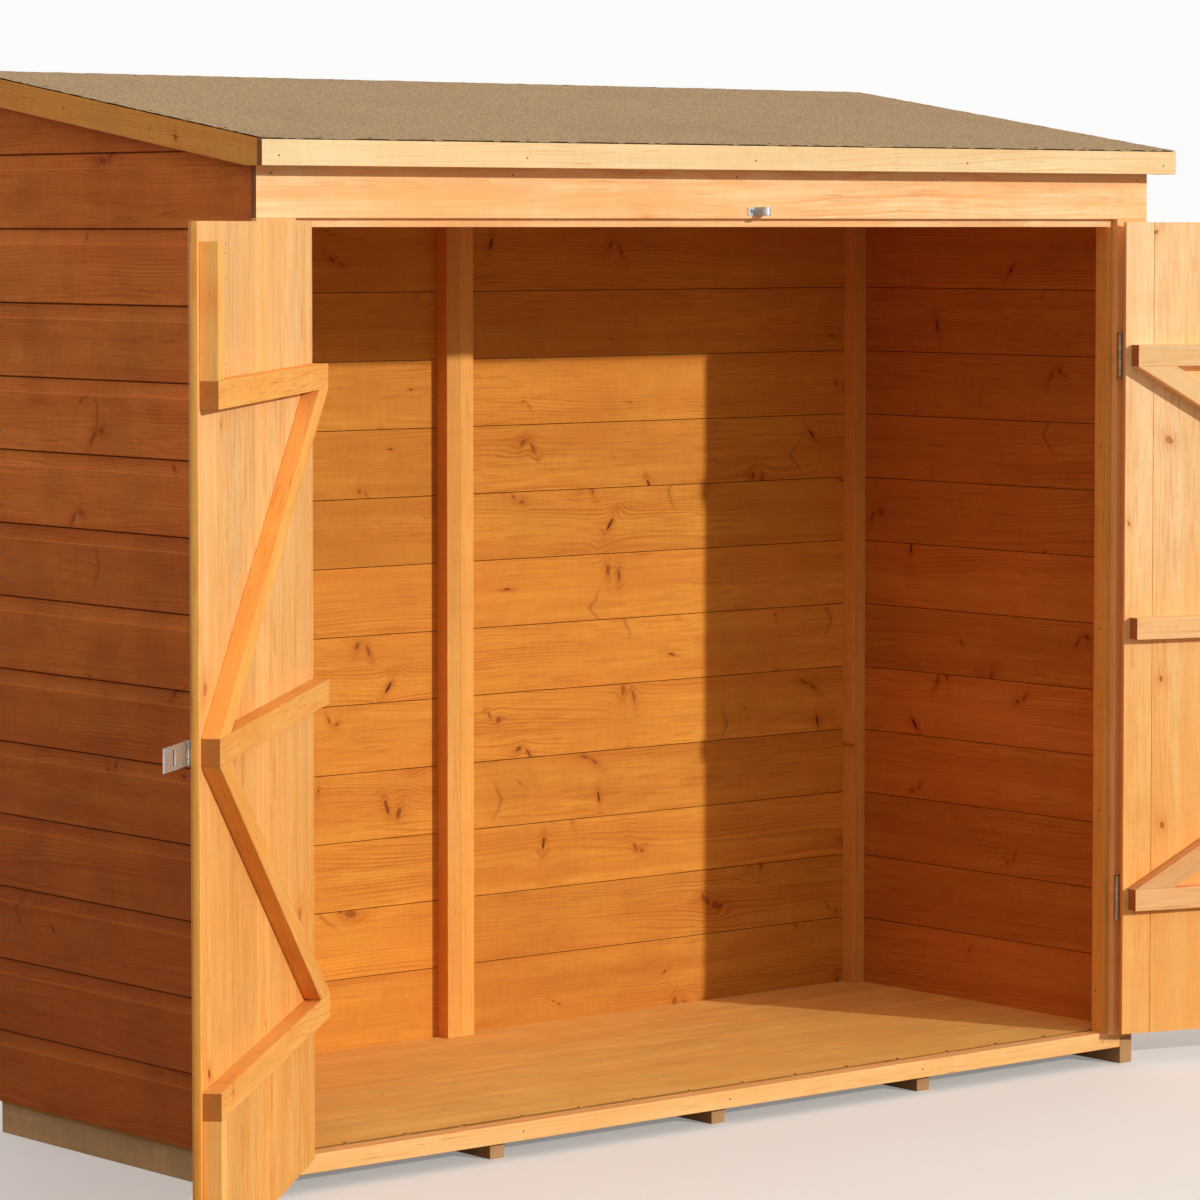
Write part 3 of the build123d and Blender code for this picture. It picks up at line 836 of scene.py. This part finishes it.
def prism(bm, outline, axes, length):
    """Adds a solid whose outline lies in the across and through axes, and runs along.

    An outline's point is (across, through), with a third number above 0 for dirt and painted shade in a groove, and
    below 0 for a painted highlight on an arris.
    """
    grime_and_shade = bm.verts.layers.float["grime_and_shade"]
    arris_highlight = bm.verts.layers.float["arris_highlight"]
    verts = []
    for across, through, *surface in outline:
        vert = bm.verts.new(axes @ Vector((0, across, through)))
        surface_mark = surface[0] if surface else 0.0
        vert[grime_and_shade], vert[arris_highlight] = max(surface_mark, 0.0), max(-surface_mark, 0.0)
        verts.append(vert)
    made = bmesh.ops.extrude_face_region(bm, geom=[bm.faces.new(verts)])["geom"]
    bmesh.ops.translate(bm, verts=verts_in(made), vec=axes.to_3x3() @ Vector((length, 0, 0)))


def add_bm(whole, part):
    """Adds one bmesh to another and frees it."""
    mesh = bpy.data.meshes.new("part")
    part.to_mesh(mesh)
    part.free()
    whole.from_mesh(mesh)
    bpy.data.meshes.remove(mesh)


# Shiplap walls


def shiplap_outline(thickness, bottom_board):
    """A board's section as (height, outward, mark): lip below, cove and tongue above. The mark is dirt and painted
    shade in the slot under the lip and round the tongue, and a painted highlight on the cove's lower arris.
    """
    lip = thickness - SHIPLAP_LIP
    if bottom_board:
        points = [(0, 0), (0, thickness - FINE_ARRIS)]
    else:
        points = [(SHIPLAP_LAP, 0), (SHIPLAP_LAP, lip, 1), (0, lip, 1), (0, thickness - FINE_ARRIS)]
    start = SHIPLAP_PITCH - LAP_SLOT - COVE_H
    points += [(FINE_ARRIS, thickness), (start - HIGHLIGHT_EDGE, thickness)]
    for i in range(COVE_STEPS + 1):
        turn = math.pi / 2 * i / COVE_STEPS
        # The cove's first steps carry a painted highlight along its lower arris.
        points.append((start + COVE_H * (1 - math.cos(turn)), thickness - COVE_DEPTH * math.sin(turn), -(i < 2)))
    cove_top = start + COVE_H + TONGUE_ROOM
    tongue = lip - TONGUE_SLACK
    top = SHIPLAP_PITCH + SHIPLAP_LAP - LAP_GAP
    return points + [(cove_top, thickness - COVE_DEPTH, 1), (cove_top, tongue, 1), (top, tongue, 1), (top, 0)]


def shiplap_wall(node, name, finish, origin, along, outward, length, nail_places):
    """Boards laid one above the other from the wall's lowest edge, cut to the roof's slope."""
    draw = random.Random(name)
    low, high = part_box(node)
    outward = Vector(outward)
    thickness = (high - low).dot(Vector(abs(c) for c in outward))
    whole = blank()
    nails = []
    for i in range(math.ceil((high.z - low.z) / SHIPLAP_PITCH)):
        bm = blank()
        axes = frame_from(Vector(origin) + UP * (low.z + i * SHIPLAP_PITCH), along, UP)
        side = 1 if axes.to_3x3().col[2].dot(outward) > 0 else -1
        outline = [(h, side * out, *surface_mark) for h, out, *surface_mark in shiplap_outline(thickness, i == 0)]
        prism(bm, outline, axes, length)
        bmesh.ops.translate(bm, verts=bm.verts, vec=outward * draw.uniform(-BOARD_WOBBLE, 0.0))
        cut_above(bm, ROOF_POINT, ROOF_NORMAL)
        mark_grain(bm, bm.verts, axes, draw)
        bmesh.ops.recalc_face_normals(bm, faces=bm.faces)
        outer = bm.faces.layers.float["outer"]
        for face in bm.faces:
            face[outer] = 1.0 if face.normal.dot(outward) > FACING_OUT else 0.0
        add_bm(whole, bm)
        for place in nail_places:
            for rise in WALL_NAIL_RISES:
                at = axes @ Vector((place + draw.uniform(-2, 2) * MM, rise * SHIPLAP_PITCH, side * thickness))
                if (at - ROOF_POINT).dot(ROOF_NORMAL) < -NAIL_BELOW_ROOF:
                    nails.append((at, outward))
    piece(name, whole, "shelter", finish, [node])
    return nails


# Tongued and grooved boards


def tongued_outline(width, thickness, first, last, vee):
    """A board's section, with its tongue on the far side and a groove on the near one."""
    half = thickness / 2
    tongue = TONGUE_T / 2
    left = 0 if first else BUTT_GAP / 2
    right = width if last else width - BUTT_GAP / 2
    points = [(left, BACK_ARRIS), (left + BACK_ARRIS, 0), (right - BACK_ARRIS, 0), (right, BACK_ARRIS)]
    if not last:
        tip = right + TONGUE_L
        points += [(right, half - tongue), (tip, half - tongue), (tip, half + tongue), (right, half + tongue)]
    points += [(right, thickness - vee, VEE_GRIME_AND_SHADE), (right - vee, thickness), (left + vee, thickness),
               (left, thickness - vee, VEE_GRIME_AND_SHADE)]
    if not first:
        groove = tongue + TONGUE_ROOM
        tip = left + TONGUE_L + TONGUE_ROOM
        points += [(left, half + groove), (tip, half + groove), (tip, half - groove), (left, half - groove)]
    return points


def board_edges(low, high, start, width):
    """Where the joints between boards fall from low to high, with one joint at start."""
    edges = [low]
    place = start
    while place < high - 0.25 * width:
        if place > low + 0.1 * width:
            edges.append(place)
        place += width
    return edges + [high]


def boarded(name, node, body, finish, place, along, across, box, joints, vee, cuts=()):
    """A panel of tongued and grooved boards that fills a box of the place's frame."""
    draw = random.Random(name)
    low, high = box
    to = place.to_3x3()
    along, across = Vector(along), Vector(across)
    through = along.cross(across)
    origin = Vector()
    for axis in (along, across, through):
        for i in range(3):
            if abs(axis[i]) > 0.5:
                origin[i] = low[i] if axis[i] > 0 else high[i]
    length, thickness = (abs((high - low).dot(Vector(abs(c) for c in axis))) for axis in (along, through))
    whole = blank()
    for i, (start, end) in enumerate(zip(joints, joints[1:])):
        bm = blank()
        corner = place @ (origin + across * (start - joints[0]))
        axes = frame_from(corner, to @ along, to @ across)
        outline = tongued_outline(end - start, thickness, i == 0, i == len(joints) - 2, vee)
        prism(bm, outline, axes, length)
        for point, normal in cuts:
            cut_above(bm, point, normal)
        mark_grain(bm, bm.verts, axes, draw)
        add_bm(whole, bm)
    piece(name, whole, body, finish, [node])


# Nails, clouts and screws


def stand_at(bm, verts, at, normal, turn=0.0):
    """Puts a small shape that was made at the origin on a surface."""
    face = Vector(normal).to_track_quat("Z", "Y").to_matrix().to_4x4()
    bmesh.ops.transform(bm, matrix=Matrix.Translation(at) @ face @ Matrix.Rotation(turn, 4, "Z"), verts=verts)


def nail_heads(name, places, body, radius=NAIL_R, proud=NAIL_PROUD, sides=8):
    """Round heads, each a low dome."""
    bm = blank()
    depth = 3 * proud
    for at, normal in places:
        made = bmesh.ops.create_cone(
            bm, cap_ends=True, segments=sides, radius1=radius, radius2=0.72 * radius, depth=depth
        )["verts"]
        stand_at(bm, made, at + Vector(normal) * (proud - depth / 2), normal)
    piece(name, bm, body, "nail")


def screw_head(bm, at, normal, turn):
    """A countersunk head with a cross slot sunk in it."""
    rim = bmesh.ops.create_circle(bm, cap_ends=False, segments=16, radius=SCREW_R)["verts"]
    arm, reach = SCREW_SLOT, 0.62 * SCREW_R
    cross = [(arm, arm), (arm, reach), (-arm, reach), (-arm, arm), (-reach, arm), (-reach, -arm),
             (-arm, -arm), (-arm, -reach), (arm, -reach), (arm, -arm), (reach, -arm), (reach, arm)]
    slot = [bm.verts.new((x, y, SCREW_PROUD)) for x, y in cross]
    slot_edges = [bm.edges.new((a, b)) for a, b in zip(slot, slot[1:] + slot[:1])]
    rim_edges = list({e for v in rim for e in v.link_edges})
    raised, raised_edges = raised_from(bm, rim_edges)
    for vert in raised:
        vert.co = Vector((vert.co.x * 0.8, vert.co.y * 0.8, SCREW_PROUD))
    bmesh.ops.bridge_loops(bm, edges=raised_edges + slot_edges)
    sunk, sunk_edges = raised_from(bm, slot_edges)
    for vert in sunk:
        vert.co.z = -0.6 * SCREW_PROUD
    bmesh.ops.edgeloop_fill(bm, edges=sunk_edges)
    bmesh.ops.edgeloop_fill(bm, edges=rim_edges)
    stand_at(bm, rim + slot + raised + sunk, at, normal, turn)


def raised_from(bm, edges):
    """Extrudes a loop of edges, and gives the new loop's vertices and edges."""
    made = bmesh.ops.extrude_edge_only(bm, edges=edges)["geom"]
    verts = verts_in(made)
    return verts, [e for e in edges_in(made) if e.verts[0] in verts and e.verts[1] in verts]


def screws(name, places, body):
    """Screw heads, each turned its own way."""
    draw = random.Random(name)
    bm = blank()
    for at, normal in places:
        screw_head(bm, Vector(at), normal, draw.uniform(0, math.pi))
    piece(name, bm, body, "screw")


def door_screws(name, side, spots):
    """Screws in the plates on a door's outer face, at places (x, z) of the shut door."""
    place = DOORS[side]
    face_y = box_in(side + "_door_boards", place)[0].y - PLATE_T
    normal = place.to_3x3() @ FORWARD
    screws(name, [(place @ Vector((x, face_y, z)), normal) for x, z in spots], side + "_door")


# Walls, front and floor


def walls():
    """The four cladding panels, the nails that hold their boards, and the frames behind them."""
    nails = []
    for side, hand in SIDES.items():
        node = side + "_wall_cladding"
        low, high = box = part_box(node)
        length = high.y - low.y
        nails += shiplap_wall(
            node, side + "_wall_boards", "side_cladding", (side_x(box, -hand), low.y, 0), (0, 1, 0), (hand, 0, 0),
            length, (WALL_NAIL_INSET, length - CORNER_NAIL_INSET),
        )
        node = f"back_wall_{side}_cladding"
        low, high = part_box(node)
        length = high.x - low.x
        nails += shiplap_wall(
            node, f"back_wall_{side}_boards", "cladding", (low.x, low.y, 0), (1, 0, 0), (0, 1, 0),
            length, (WALL_NAIL_INSET, length - WALL_NAIL_INSET),
        )
    nail_heads("wall_nails", nails, "shelter")
    for side in SIDES:
        for wall in (side + "_wall", f"back_wall_{side}"):
            timber(wall + "_posts", "shelter", "framing")
            timber(wall + "_rails", "shelter", "framing")


def front():
    """The frame round the doorway with its header and strips."""
    for node in ("front_jambs", "front_top_rail"):
        timber(node, "shelter", "framing")
    for node in ("head_rail", "header_board"):
        timber(node, "shelter", "header", FINE_ARRIS)
    for node in ("front_strip_left", "front_strip_right"):
        timber(node, "shelter", "threshold", FINE_ARRIS)
    low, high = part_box("header_board")
    nails = [(Vector((x, low.y, low.z + 64 * MM)), FORWARD) for x in spaced(low.x, high.x, 26 * MM, 5)]
    for side, hand in SIDES.items():
        low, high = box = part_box("front_strip_" + side)
        x = side_x(box, hand) - hand * 22 * MM
        nails += [(Vector((x, low.y, z)), FORWARD) for z in spaced(low.z, high.z, 30 * MM, 7)]
    for low, high in solids_in("front_jambs", HERE):
        inner = 1 if high.x < 0 else -1
        x = side_x((low, high), inner)
        nails += [(Vector((x, high.y - inset * MM, z * MM)), Vector((inner, 0, 0))) for z, inset in JAMB_NAILS_MM]
    nail_heads("front_nails", nails, "shelter")


def floor():
    """Bearers, threshold and sheet, and the nails that hold them."""
    timber("floor_bearers", "shelter", "bearers")
    timber("floor_threshold", "shelter", "threshold")
    floor_sheet()
    low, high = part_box("floor_threshold")
    middle = (low.z + high.z) / 2
    nails = [(Vector((x, low.y, middle)), FORWARD) for x in spaced(low.x, high.x, 42 * MM, 5)]
    sheet_low, sheet_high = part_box("floor_sheet")
    rows = spaced(sheet_low.y + 100 * MM, sheet_high.y, 60 * MM, 4)
    for low, high in solids_in("floor_bearers", HERE):
        x = (low.x + high.x) / 2
        if abs(x) <= NAILED_HALF_W:
            nails += [(Vector((x, y, sheet_high.z)), UP) for y in rows]
    nail_heads("floor_nails", nails, "shelter", 1.8 * MM)


def floor_sheet():
    """The sheet floor, its front edge chipped along the threshold and at each nail."""
    draw = random.Random("chips")
    edge_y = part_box("floor_threshold")[1].y
    bm = merged("floor_sheet")
    low, high = extent([v.co for v in bm.verts])
    ease_edges(bm, 0.6 * MM)
    bmesh.ops.bisect_plane(bm, geom=everything(bm), plane_co=(0, edge_y + 7 * MM, 0), plane_no=(0, 1, 0))
    front = [e for e in bm.edges if e.calc_length() > 1 and all(abs(v.co.y - edge_y) < ON_EDGE for v in e.verts)]
    bmesh.ops.subdivide_edges(bm, edges=front, cuts=FRONT_EDGE_CUTS, use_grid_fill=True)
    nails = [EDGE_NAILS_FROM + n * EDGE_NAIL_PITCH for n in range(EDGE_NAIL_COUNT)]
    chips = [(x + draw.uniform(-6, 6) * MM, draw.uniform(3.0, 5.5) * MM, draw.uniform(7, 13) * MM) for x in nails]
    rough = [(draw.uniform(0.02, 0.4), draw.uniform(0, 6)) for _ in range(9)]
    grime_and_shade = bm.verts.layers.float["grime_and_shade"]
    for vert in bm.verts:
        if abs(vert.co.y - edge_y) > ON_EDGE or abs(vert.co.x) > CHIPPED_HALF_W:
            continue
        x = vert.co.x
        back = 0.6 * MM + 0.7 * MM * abs(sum(math.sin(x / MM * a + b) for a, b in rough)) / 2
        burr = 0.0
        for place, depth, width in chips:
            near = max(0.0, 1 - abs(x - place) / width)
            back += depth * near * draw.uniform(0.7, 1.0)
            burr += near * draw.uniform(0.3, 2.0) * MM
        vert.co.y += min(back, CHIP_MOST)
        if vert.co.z > (low.z + high.z) / 2:
            vert.co.z += burr
        # Darker along the chipped edge against the threshold: dirt and painted shade.
        vert[grime_and_shade] = 1.0
    mark_grain(bm, bm.verts, Matrix.Translation((0, 0, low.z)), draw)
    piece("floor_sheet_dressed", bm, "shelter", "floor", ["floor_sheet"])
    heads = [(Vector((x + 4 * MM, edge_y + 10 * MM, high.z + 0.6 * MM)), UP) for x in nails]
    nail_heads("floor_edge_nails", heads, "shelter", 3.0 * MM, 0.8 * MM)


# Roof


def roof():
    """Deck boards, battens, fascia, bargeboards and felt, with their nails."""
    low, high = box_in("roof_deck", ROOF)
    low.y, high.y = low.y - 5 * MM, high.y + 5 * MM
    joints = board_edges(low.x, high.x, low.x + 0.6 * DECK_BOARD_W, DECK_BOARD_W)
    cuts = [((0, deck_front_y, 0), FORWARD), ((0, deck_back_y, 0), (0, 1, 0))]
    boarded("roof_deck_boards", "roof_deck", "shelter", "roof_boards", ROOF, (0, 1, 0), (-1, 0, 0), (low, high),
            joints, FINE_ARRIS, cuts)
    timber("roof_battens", "shelter", "framing")
    timber("fascia", "shelter", "trim", FINE_ARRIS)
    level = (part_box("fascia")[0], (0, 0, -1))
    for side in SIDES:
        timber("bargeboard_" + side, "shelter", "barge", FINE_ARRIS, [level])
    felt()
    trim_nails()


def felt():
    """A mineral sheet with soft ripples and a roughly trimmed edge, and its clouts."""
    draw = random.Random("felt")
    low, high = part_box("roof_felt")
    size = high - low
    slope = math.tan(ROOF_ANGLE)
    thickness = size.z - size.y * slope

    def top_z(y):
        return low.z + thickness + (y - low.y) * slope

    bm = blank()
    bmesh.ops.create_grid(
        bm, x_segments=int(size.x / FELT_CELL), y_segments=int(size.y / FELT_CELL), size=0.5
    )
    phase = [(draw.uniform(3, 13), draw.uniform(3, 10), draw.uniform(0, 6)) for _ in range(7)]
    for vert in bm.verts:
        u, v = vert.co.x, vert.co.y
        x, y = u * size.x, v * size.y
        ripple = sum(math.sin(a * x + b * y + c) for a, b, c in phase) / len(phase)
        inward = min((0.5 - abs(u)) * size.x, (0.5 - abs(v)) * size.y)
        if 0.5 - abs(u) < NO_WIDTH:
            x -= math.copysign(draw.uniform(0, FELT_FRAY), x)
        if 0.5 - abs(v) < NO_WIDTH:
            y -= math.copysign(draw.uniform(0, FELT_FRAY), y)
        y += (low.y + high.y) / 2
        edge_dip = draw.uniform(0, FELT_DIP) if inward < NO_WIDTH else 0.0
        z = top_z(y) - FELT_SUNK - edge_dip
        z += FELT_RIPPLE * 0.5 * (ripple - 1) * min(1.0, inward / FELT_HELD_EDGE)
        vert.co = (x, y, z)
    lower = verts_in(bmesh.ops.extrude_face_region(bm, geom=list(bm.faces))["geom"])
    bmesh.ops.translate(bm, verts=lower, vec=(0, 0, FELT_THINNER - thickness))
    bmesh.ops.recalc_face_normals(bm, faces=bm.faces)
    end = bm.faces.layers.float["end"]
    for face in bm.faces:
        frayed = abs(face.normal.z) < 0.3 and draw.random() < 0.3
        face[end] = 0.0 if face.normal.z > 0.7 or frayed else 1.0
    piece("roof_felt_sheet", bm, "shelter", "felt", ["roof_felt"])

    def clout(x, y):
        return Vector((x, y, top_z(y) - CLOUT_SUNK)), ROOF_NORMAL

    rows = spaced(low.y, high.y, CLOUT_INSET, int(size.y / CLOUT_PITCH) + 1)
    columns = spaced(low.x, high.x, CLOUT_INSET, int(size.x / CLOUT_PITCH) + 1)
    heads = [clout(x, y) for x in (columns[0], columns[-1]) for y in rows]
    heads += [clout(x + draw.uniform(-9, 9) * MM, y) for y in (rows[0], rows[-1]) for x in columns[1:-1]]
    nail_heads("felt_clouts", heads, "shelter", CLOUT_R, 0.3 * MM, 10)


def trim_nails():
    """Nails along the fascia and the bargeboards."""
    low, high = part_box("fascia")
    z = (low.z + high.z) / 2 - 5 * MM
    nails = [(Vector((x, low.y, z)), FORWARD) for x in spaced(low.x, high.x, 30 * MM, 5)]
    for side, hand in SIDES.items():
        low, high = box = box_in("bargeboard_" + side, ROOF)
        x, z = side_x(box, hand), (low.z + high.z) / 2
        nails += [(ROOF @ Vector((x, y, z)), Vector((hand, 0, 0))) for y in spaced(low.y, high.y, 45 * MM, 4)]
    nail_heads("trim_nails", nails, "shelter")


# Doors


def door(side, hand):
    """The boards, ledges, braces and edge battens of one door, with its nails."""
    body, place = side + "_door", DOORS[side]
    node = body + "_boards"
    low, high = box = box_in(node, place)
    hinge_x = side_x(box, hand)
    joints = board_edges(0.0, high.x - low.x, DOOR_FIRST_W, DOOR_BOARD_W)
    boards, bars, battens = DOOR_FINISHES[side]
    boarded(node + "_dressed", node, body, boards, place, (0, 0, hand), (-hand, 0, 0), box, joints, VEE)
    timber(body + "_ledges", body, bars)
    timber(body + "_braces", body, bars)
    timber(body + "_edge_battens", body, battens)
    turn = place.to_3x3()
    nails = []
    draw = random.Random(body)
    for ledge_low, ledge_high in solids_in(body + "_ledges", place):
        z = (ledge_low.z + ledge_high.z) / 2
        for start, end in zip(joints, joints[1:]):
            for share in LEDGE_NAIL_SHARES:
                x = hinge_x - hand * (start + share * (end - start))
                at = Vector((x, low.y, z + draw.uniform(-7, 7) * MM))
                nails.append((place @ at, turn @ FORWARD))
    for z in BATTEN_NAIL_HEIGHTS:
        x = hinge_x - hand * BATTEN_NAIL_REACH + draw.uniform(-3, 3) * MM
        nails.append((place @ Vector((x, high.y, z)), turn @ Vector((0, 1, 0))))
    nail_heads(body + "_nails", nails, body)


# Hardware


def softened(node, body, finish="zinc"):
    """Sheet metal and bar from the frame with their edges eased."""
    bm = merged(node)
    ease_edges(bm, METAL_ARRIS, 40.0)
    piece(node + "_dressed", bm, body, finish, [node])


def hinges():
    """The leaves of the four butt hinges, with three screws in each."""
    for side, hand in SIDES.items():
        fixed, moving = side + "_hinge_frame_leaves", side + "_door_hinge_leaves"
        softened(fixed, "shelter", "dull_zinc")
        softened(moving, side + "_door", "dull_zinc")
        face_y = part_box("front_strip_" + side)[0].y - PLATE_T
        places = []
        for low, high in solids_in(fixed, HERE):
            x = side_x((low, high), hand) - hand * LEAF_SCREW_INSET
            places += [(Vector((x, face_y, z)), FORWARD) for z in spaced(low.z, high.z, 12 * MM, 3)]
        screws(side + "_frame_hinge_screws", places, "shelter")
        spots = []
        for low, high in solids_in(moving, DOORS[side]):
            x = side_x((low, high), -hand) + hand * LEAF_SCREW_INSET
            spots += [(x, (low.z + high.z) / 2 + rise * MM) for rise in (-26, 0, 26)]
        door_screws(side + "_door_hinge_screws", side, spots)


def hasp():
    """The hasp's leaf and flap by the left door's edge, and its staple on the right door."""
    softened("hasp_leaf", "left_door")
    softened("hasp_flap", "hasp_flap")
    softened("staple", "right_door")
    low, high = box_in("hasp_leaf", DOORS["left"])
    middle = (low.z + high.z) / 2
    door_screws("hasp_screws", "left", [(low.x + x * MM, middle + z * MM) for x, z in ((9, 8), (9, -8), (25, 0))])
    low, high = box_in("staple", DOORS["right"])
    middle = (low.z + high.z) / 2
    spots = [(x, middle + z * MM) for x in (low.x + 7 * MM, high.x - 7 * MM) for z in (-9, 9)]
    door_screws("staple_screws", "right", spots)


def bolt():
    """The tower bolt's plate and rod on the right door, and its keep on the header."""
    for node in ("bolt_plate", "bolt_rod"):
        softened(node, "right_door")
    softened("bolt_keep", "shelter")
    low, high = box_in("bolt_plate", DOORS["right"])
    spots = [(x, z) for x in (low.x + 5.5 * MM, high.x - 5.5 * MM) for z in (low.z + 24 * MM, high.z - 24 * MM)]
    door_screws("bolt_screws", "right", spots)
    low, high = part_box("bolt_keep")
    face_y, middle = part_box("header_board")[0].y - PLATE_T, (low.z + high.z) / 2
    places = [(Vector((x, face_y, middle)), FORWARD) for x in (low.x + 7 * MM, high.x - 7 * MM)]
    screws("keep_screws", places, "shelter")


# The studio


def seen_by_lens(t):
    """1 for rays that show the background: from the camera, or by way of metal."""
    ray = t.add("ShaderNodeLightPath").outputs
    seen = t.larger(ray["Is Camera Ray"], ray["Is Glossy Ray"])
    return t.larger(seen, ray["Is Transmission Ray"])


def stage():
    """A plain pale floor that fades to white far away."""
    bm = bmesh.new()
    bmesh.ops.create_circle(bm, cap_ends=True, segments=96, radius=STAGE_R)
    mesh = bpy.data.meshes.new("studio_floor")
    bm.to_mesh(mesh)
    bm.free()
    material, t, surface = new_material("pale_floor")
    position = t.place()
    pale = t.mix(t.noise(position, 3.0, 3.0), srgb(224, 222, 218), srgb(230, 228, 225))
    seen = seen_by_lens(t)
    far = t.times(t.between(t.vector("LENGTH", position), FADE_FROM, FADE_TO), seen)
    color = t.mix(seen, srgb(132, 126, 118), pale)
    t.feed_all(
        surface, Base_Color=t.mix(far, color, (0, 0, 0, 1)), Roughness=0.9, Emission_Color=BACKDROP_TINT,
        Emission_Strength=t.times(seen, t.between(far, 0.0, 1.0, FLOOR_GLOW, BACKDROP)),
    )
    mesh.materials.append(material)
    made = linked("studio_floor", mesh)


def lights():
    """Low sun from the front and right, and an open sky."""
    world = bpy.data.worlds.new("studio")
    world.use_nodes = True
    t = Tree(world.node_tree)
    back = world.node_tree.nodes["Background"]
    seen = seen_by_lens(t)
    up = t.split(t.add("ShaderNodeTexCoord").outputs["Generated"])[2]
    sky = t.between(up, 0.0, 1.0, SKY_LOW, SKY_HIGH, smooth=False)
    strength = t.plus(t.times(sky, t.minus(1.0, seen)), t.times(seen, BACKDROP))
    t.feed_all(back.inputs, Color=t.mix(seen, SKY_TINT, BACKDROP_TINT), Strength=strength)
    bpy.context.scene.world = world
    key = bpy.data.lights.new("key", "SUN")
    key.energy = SUN_STRENGTH
    key.angle = math.radians(SUN_ANGLE_DEG)
    key.color = SUN_TINT
    lamp = linked("key", key)
    lamp.rotation_euler = SUN_TOWARD.to_track_quat("Z", "Y").to_euler()


def camera():
    """Sees the store as the photograph does."""
    data = bpy.data.cameras.new("camera")
    data.sensor_width = SENSOR_MM
    data.lens = FOCAL_PX / PHOTO_PX * SENSOR_MM
    data.shift_y = (AXIS_Y_PX - PHOTO_PX / 2) / PHOTO_PX
    data.clip_end = 100
    made = linked("camera", data)
    made.location = CAMERA_FROM_HEADER + Vector((0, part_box("header_board")[0].y, 0))
    made.rotation_euler = (math.radians(90 - TILT_DEG), 0, math.radians(-AZIMUTH_DEG))
    bpy.context.scene.camera = made


walls()
front()
floor()
roof()
for side, hand in SIDES.items():
    door(side, hand)
hinges()
hasp()
bolt()
stage()
lights()
camera()
bpy.context.scene.view_settings.view_transform = "Standard"
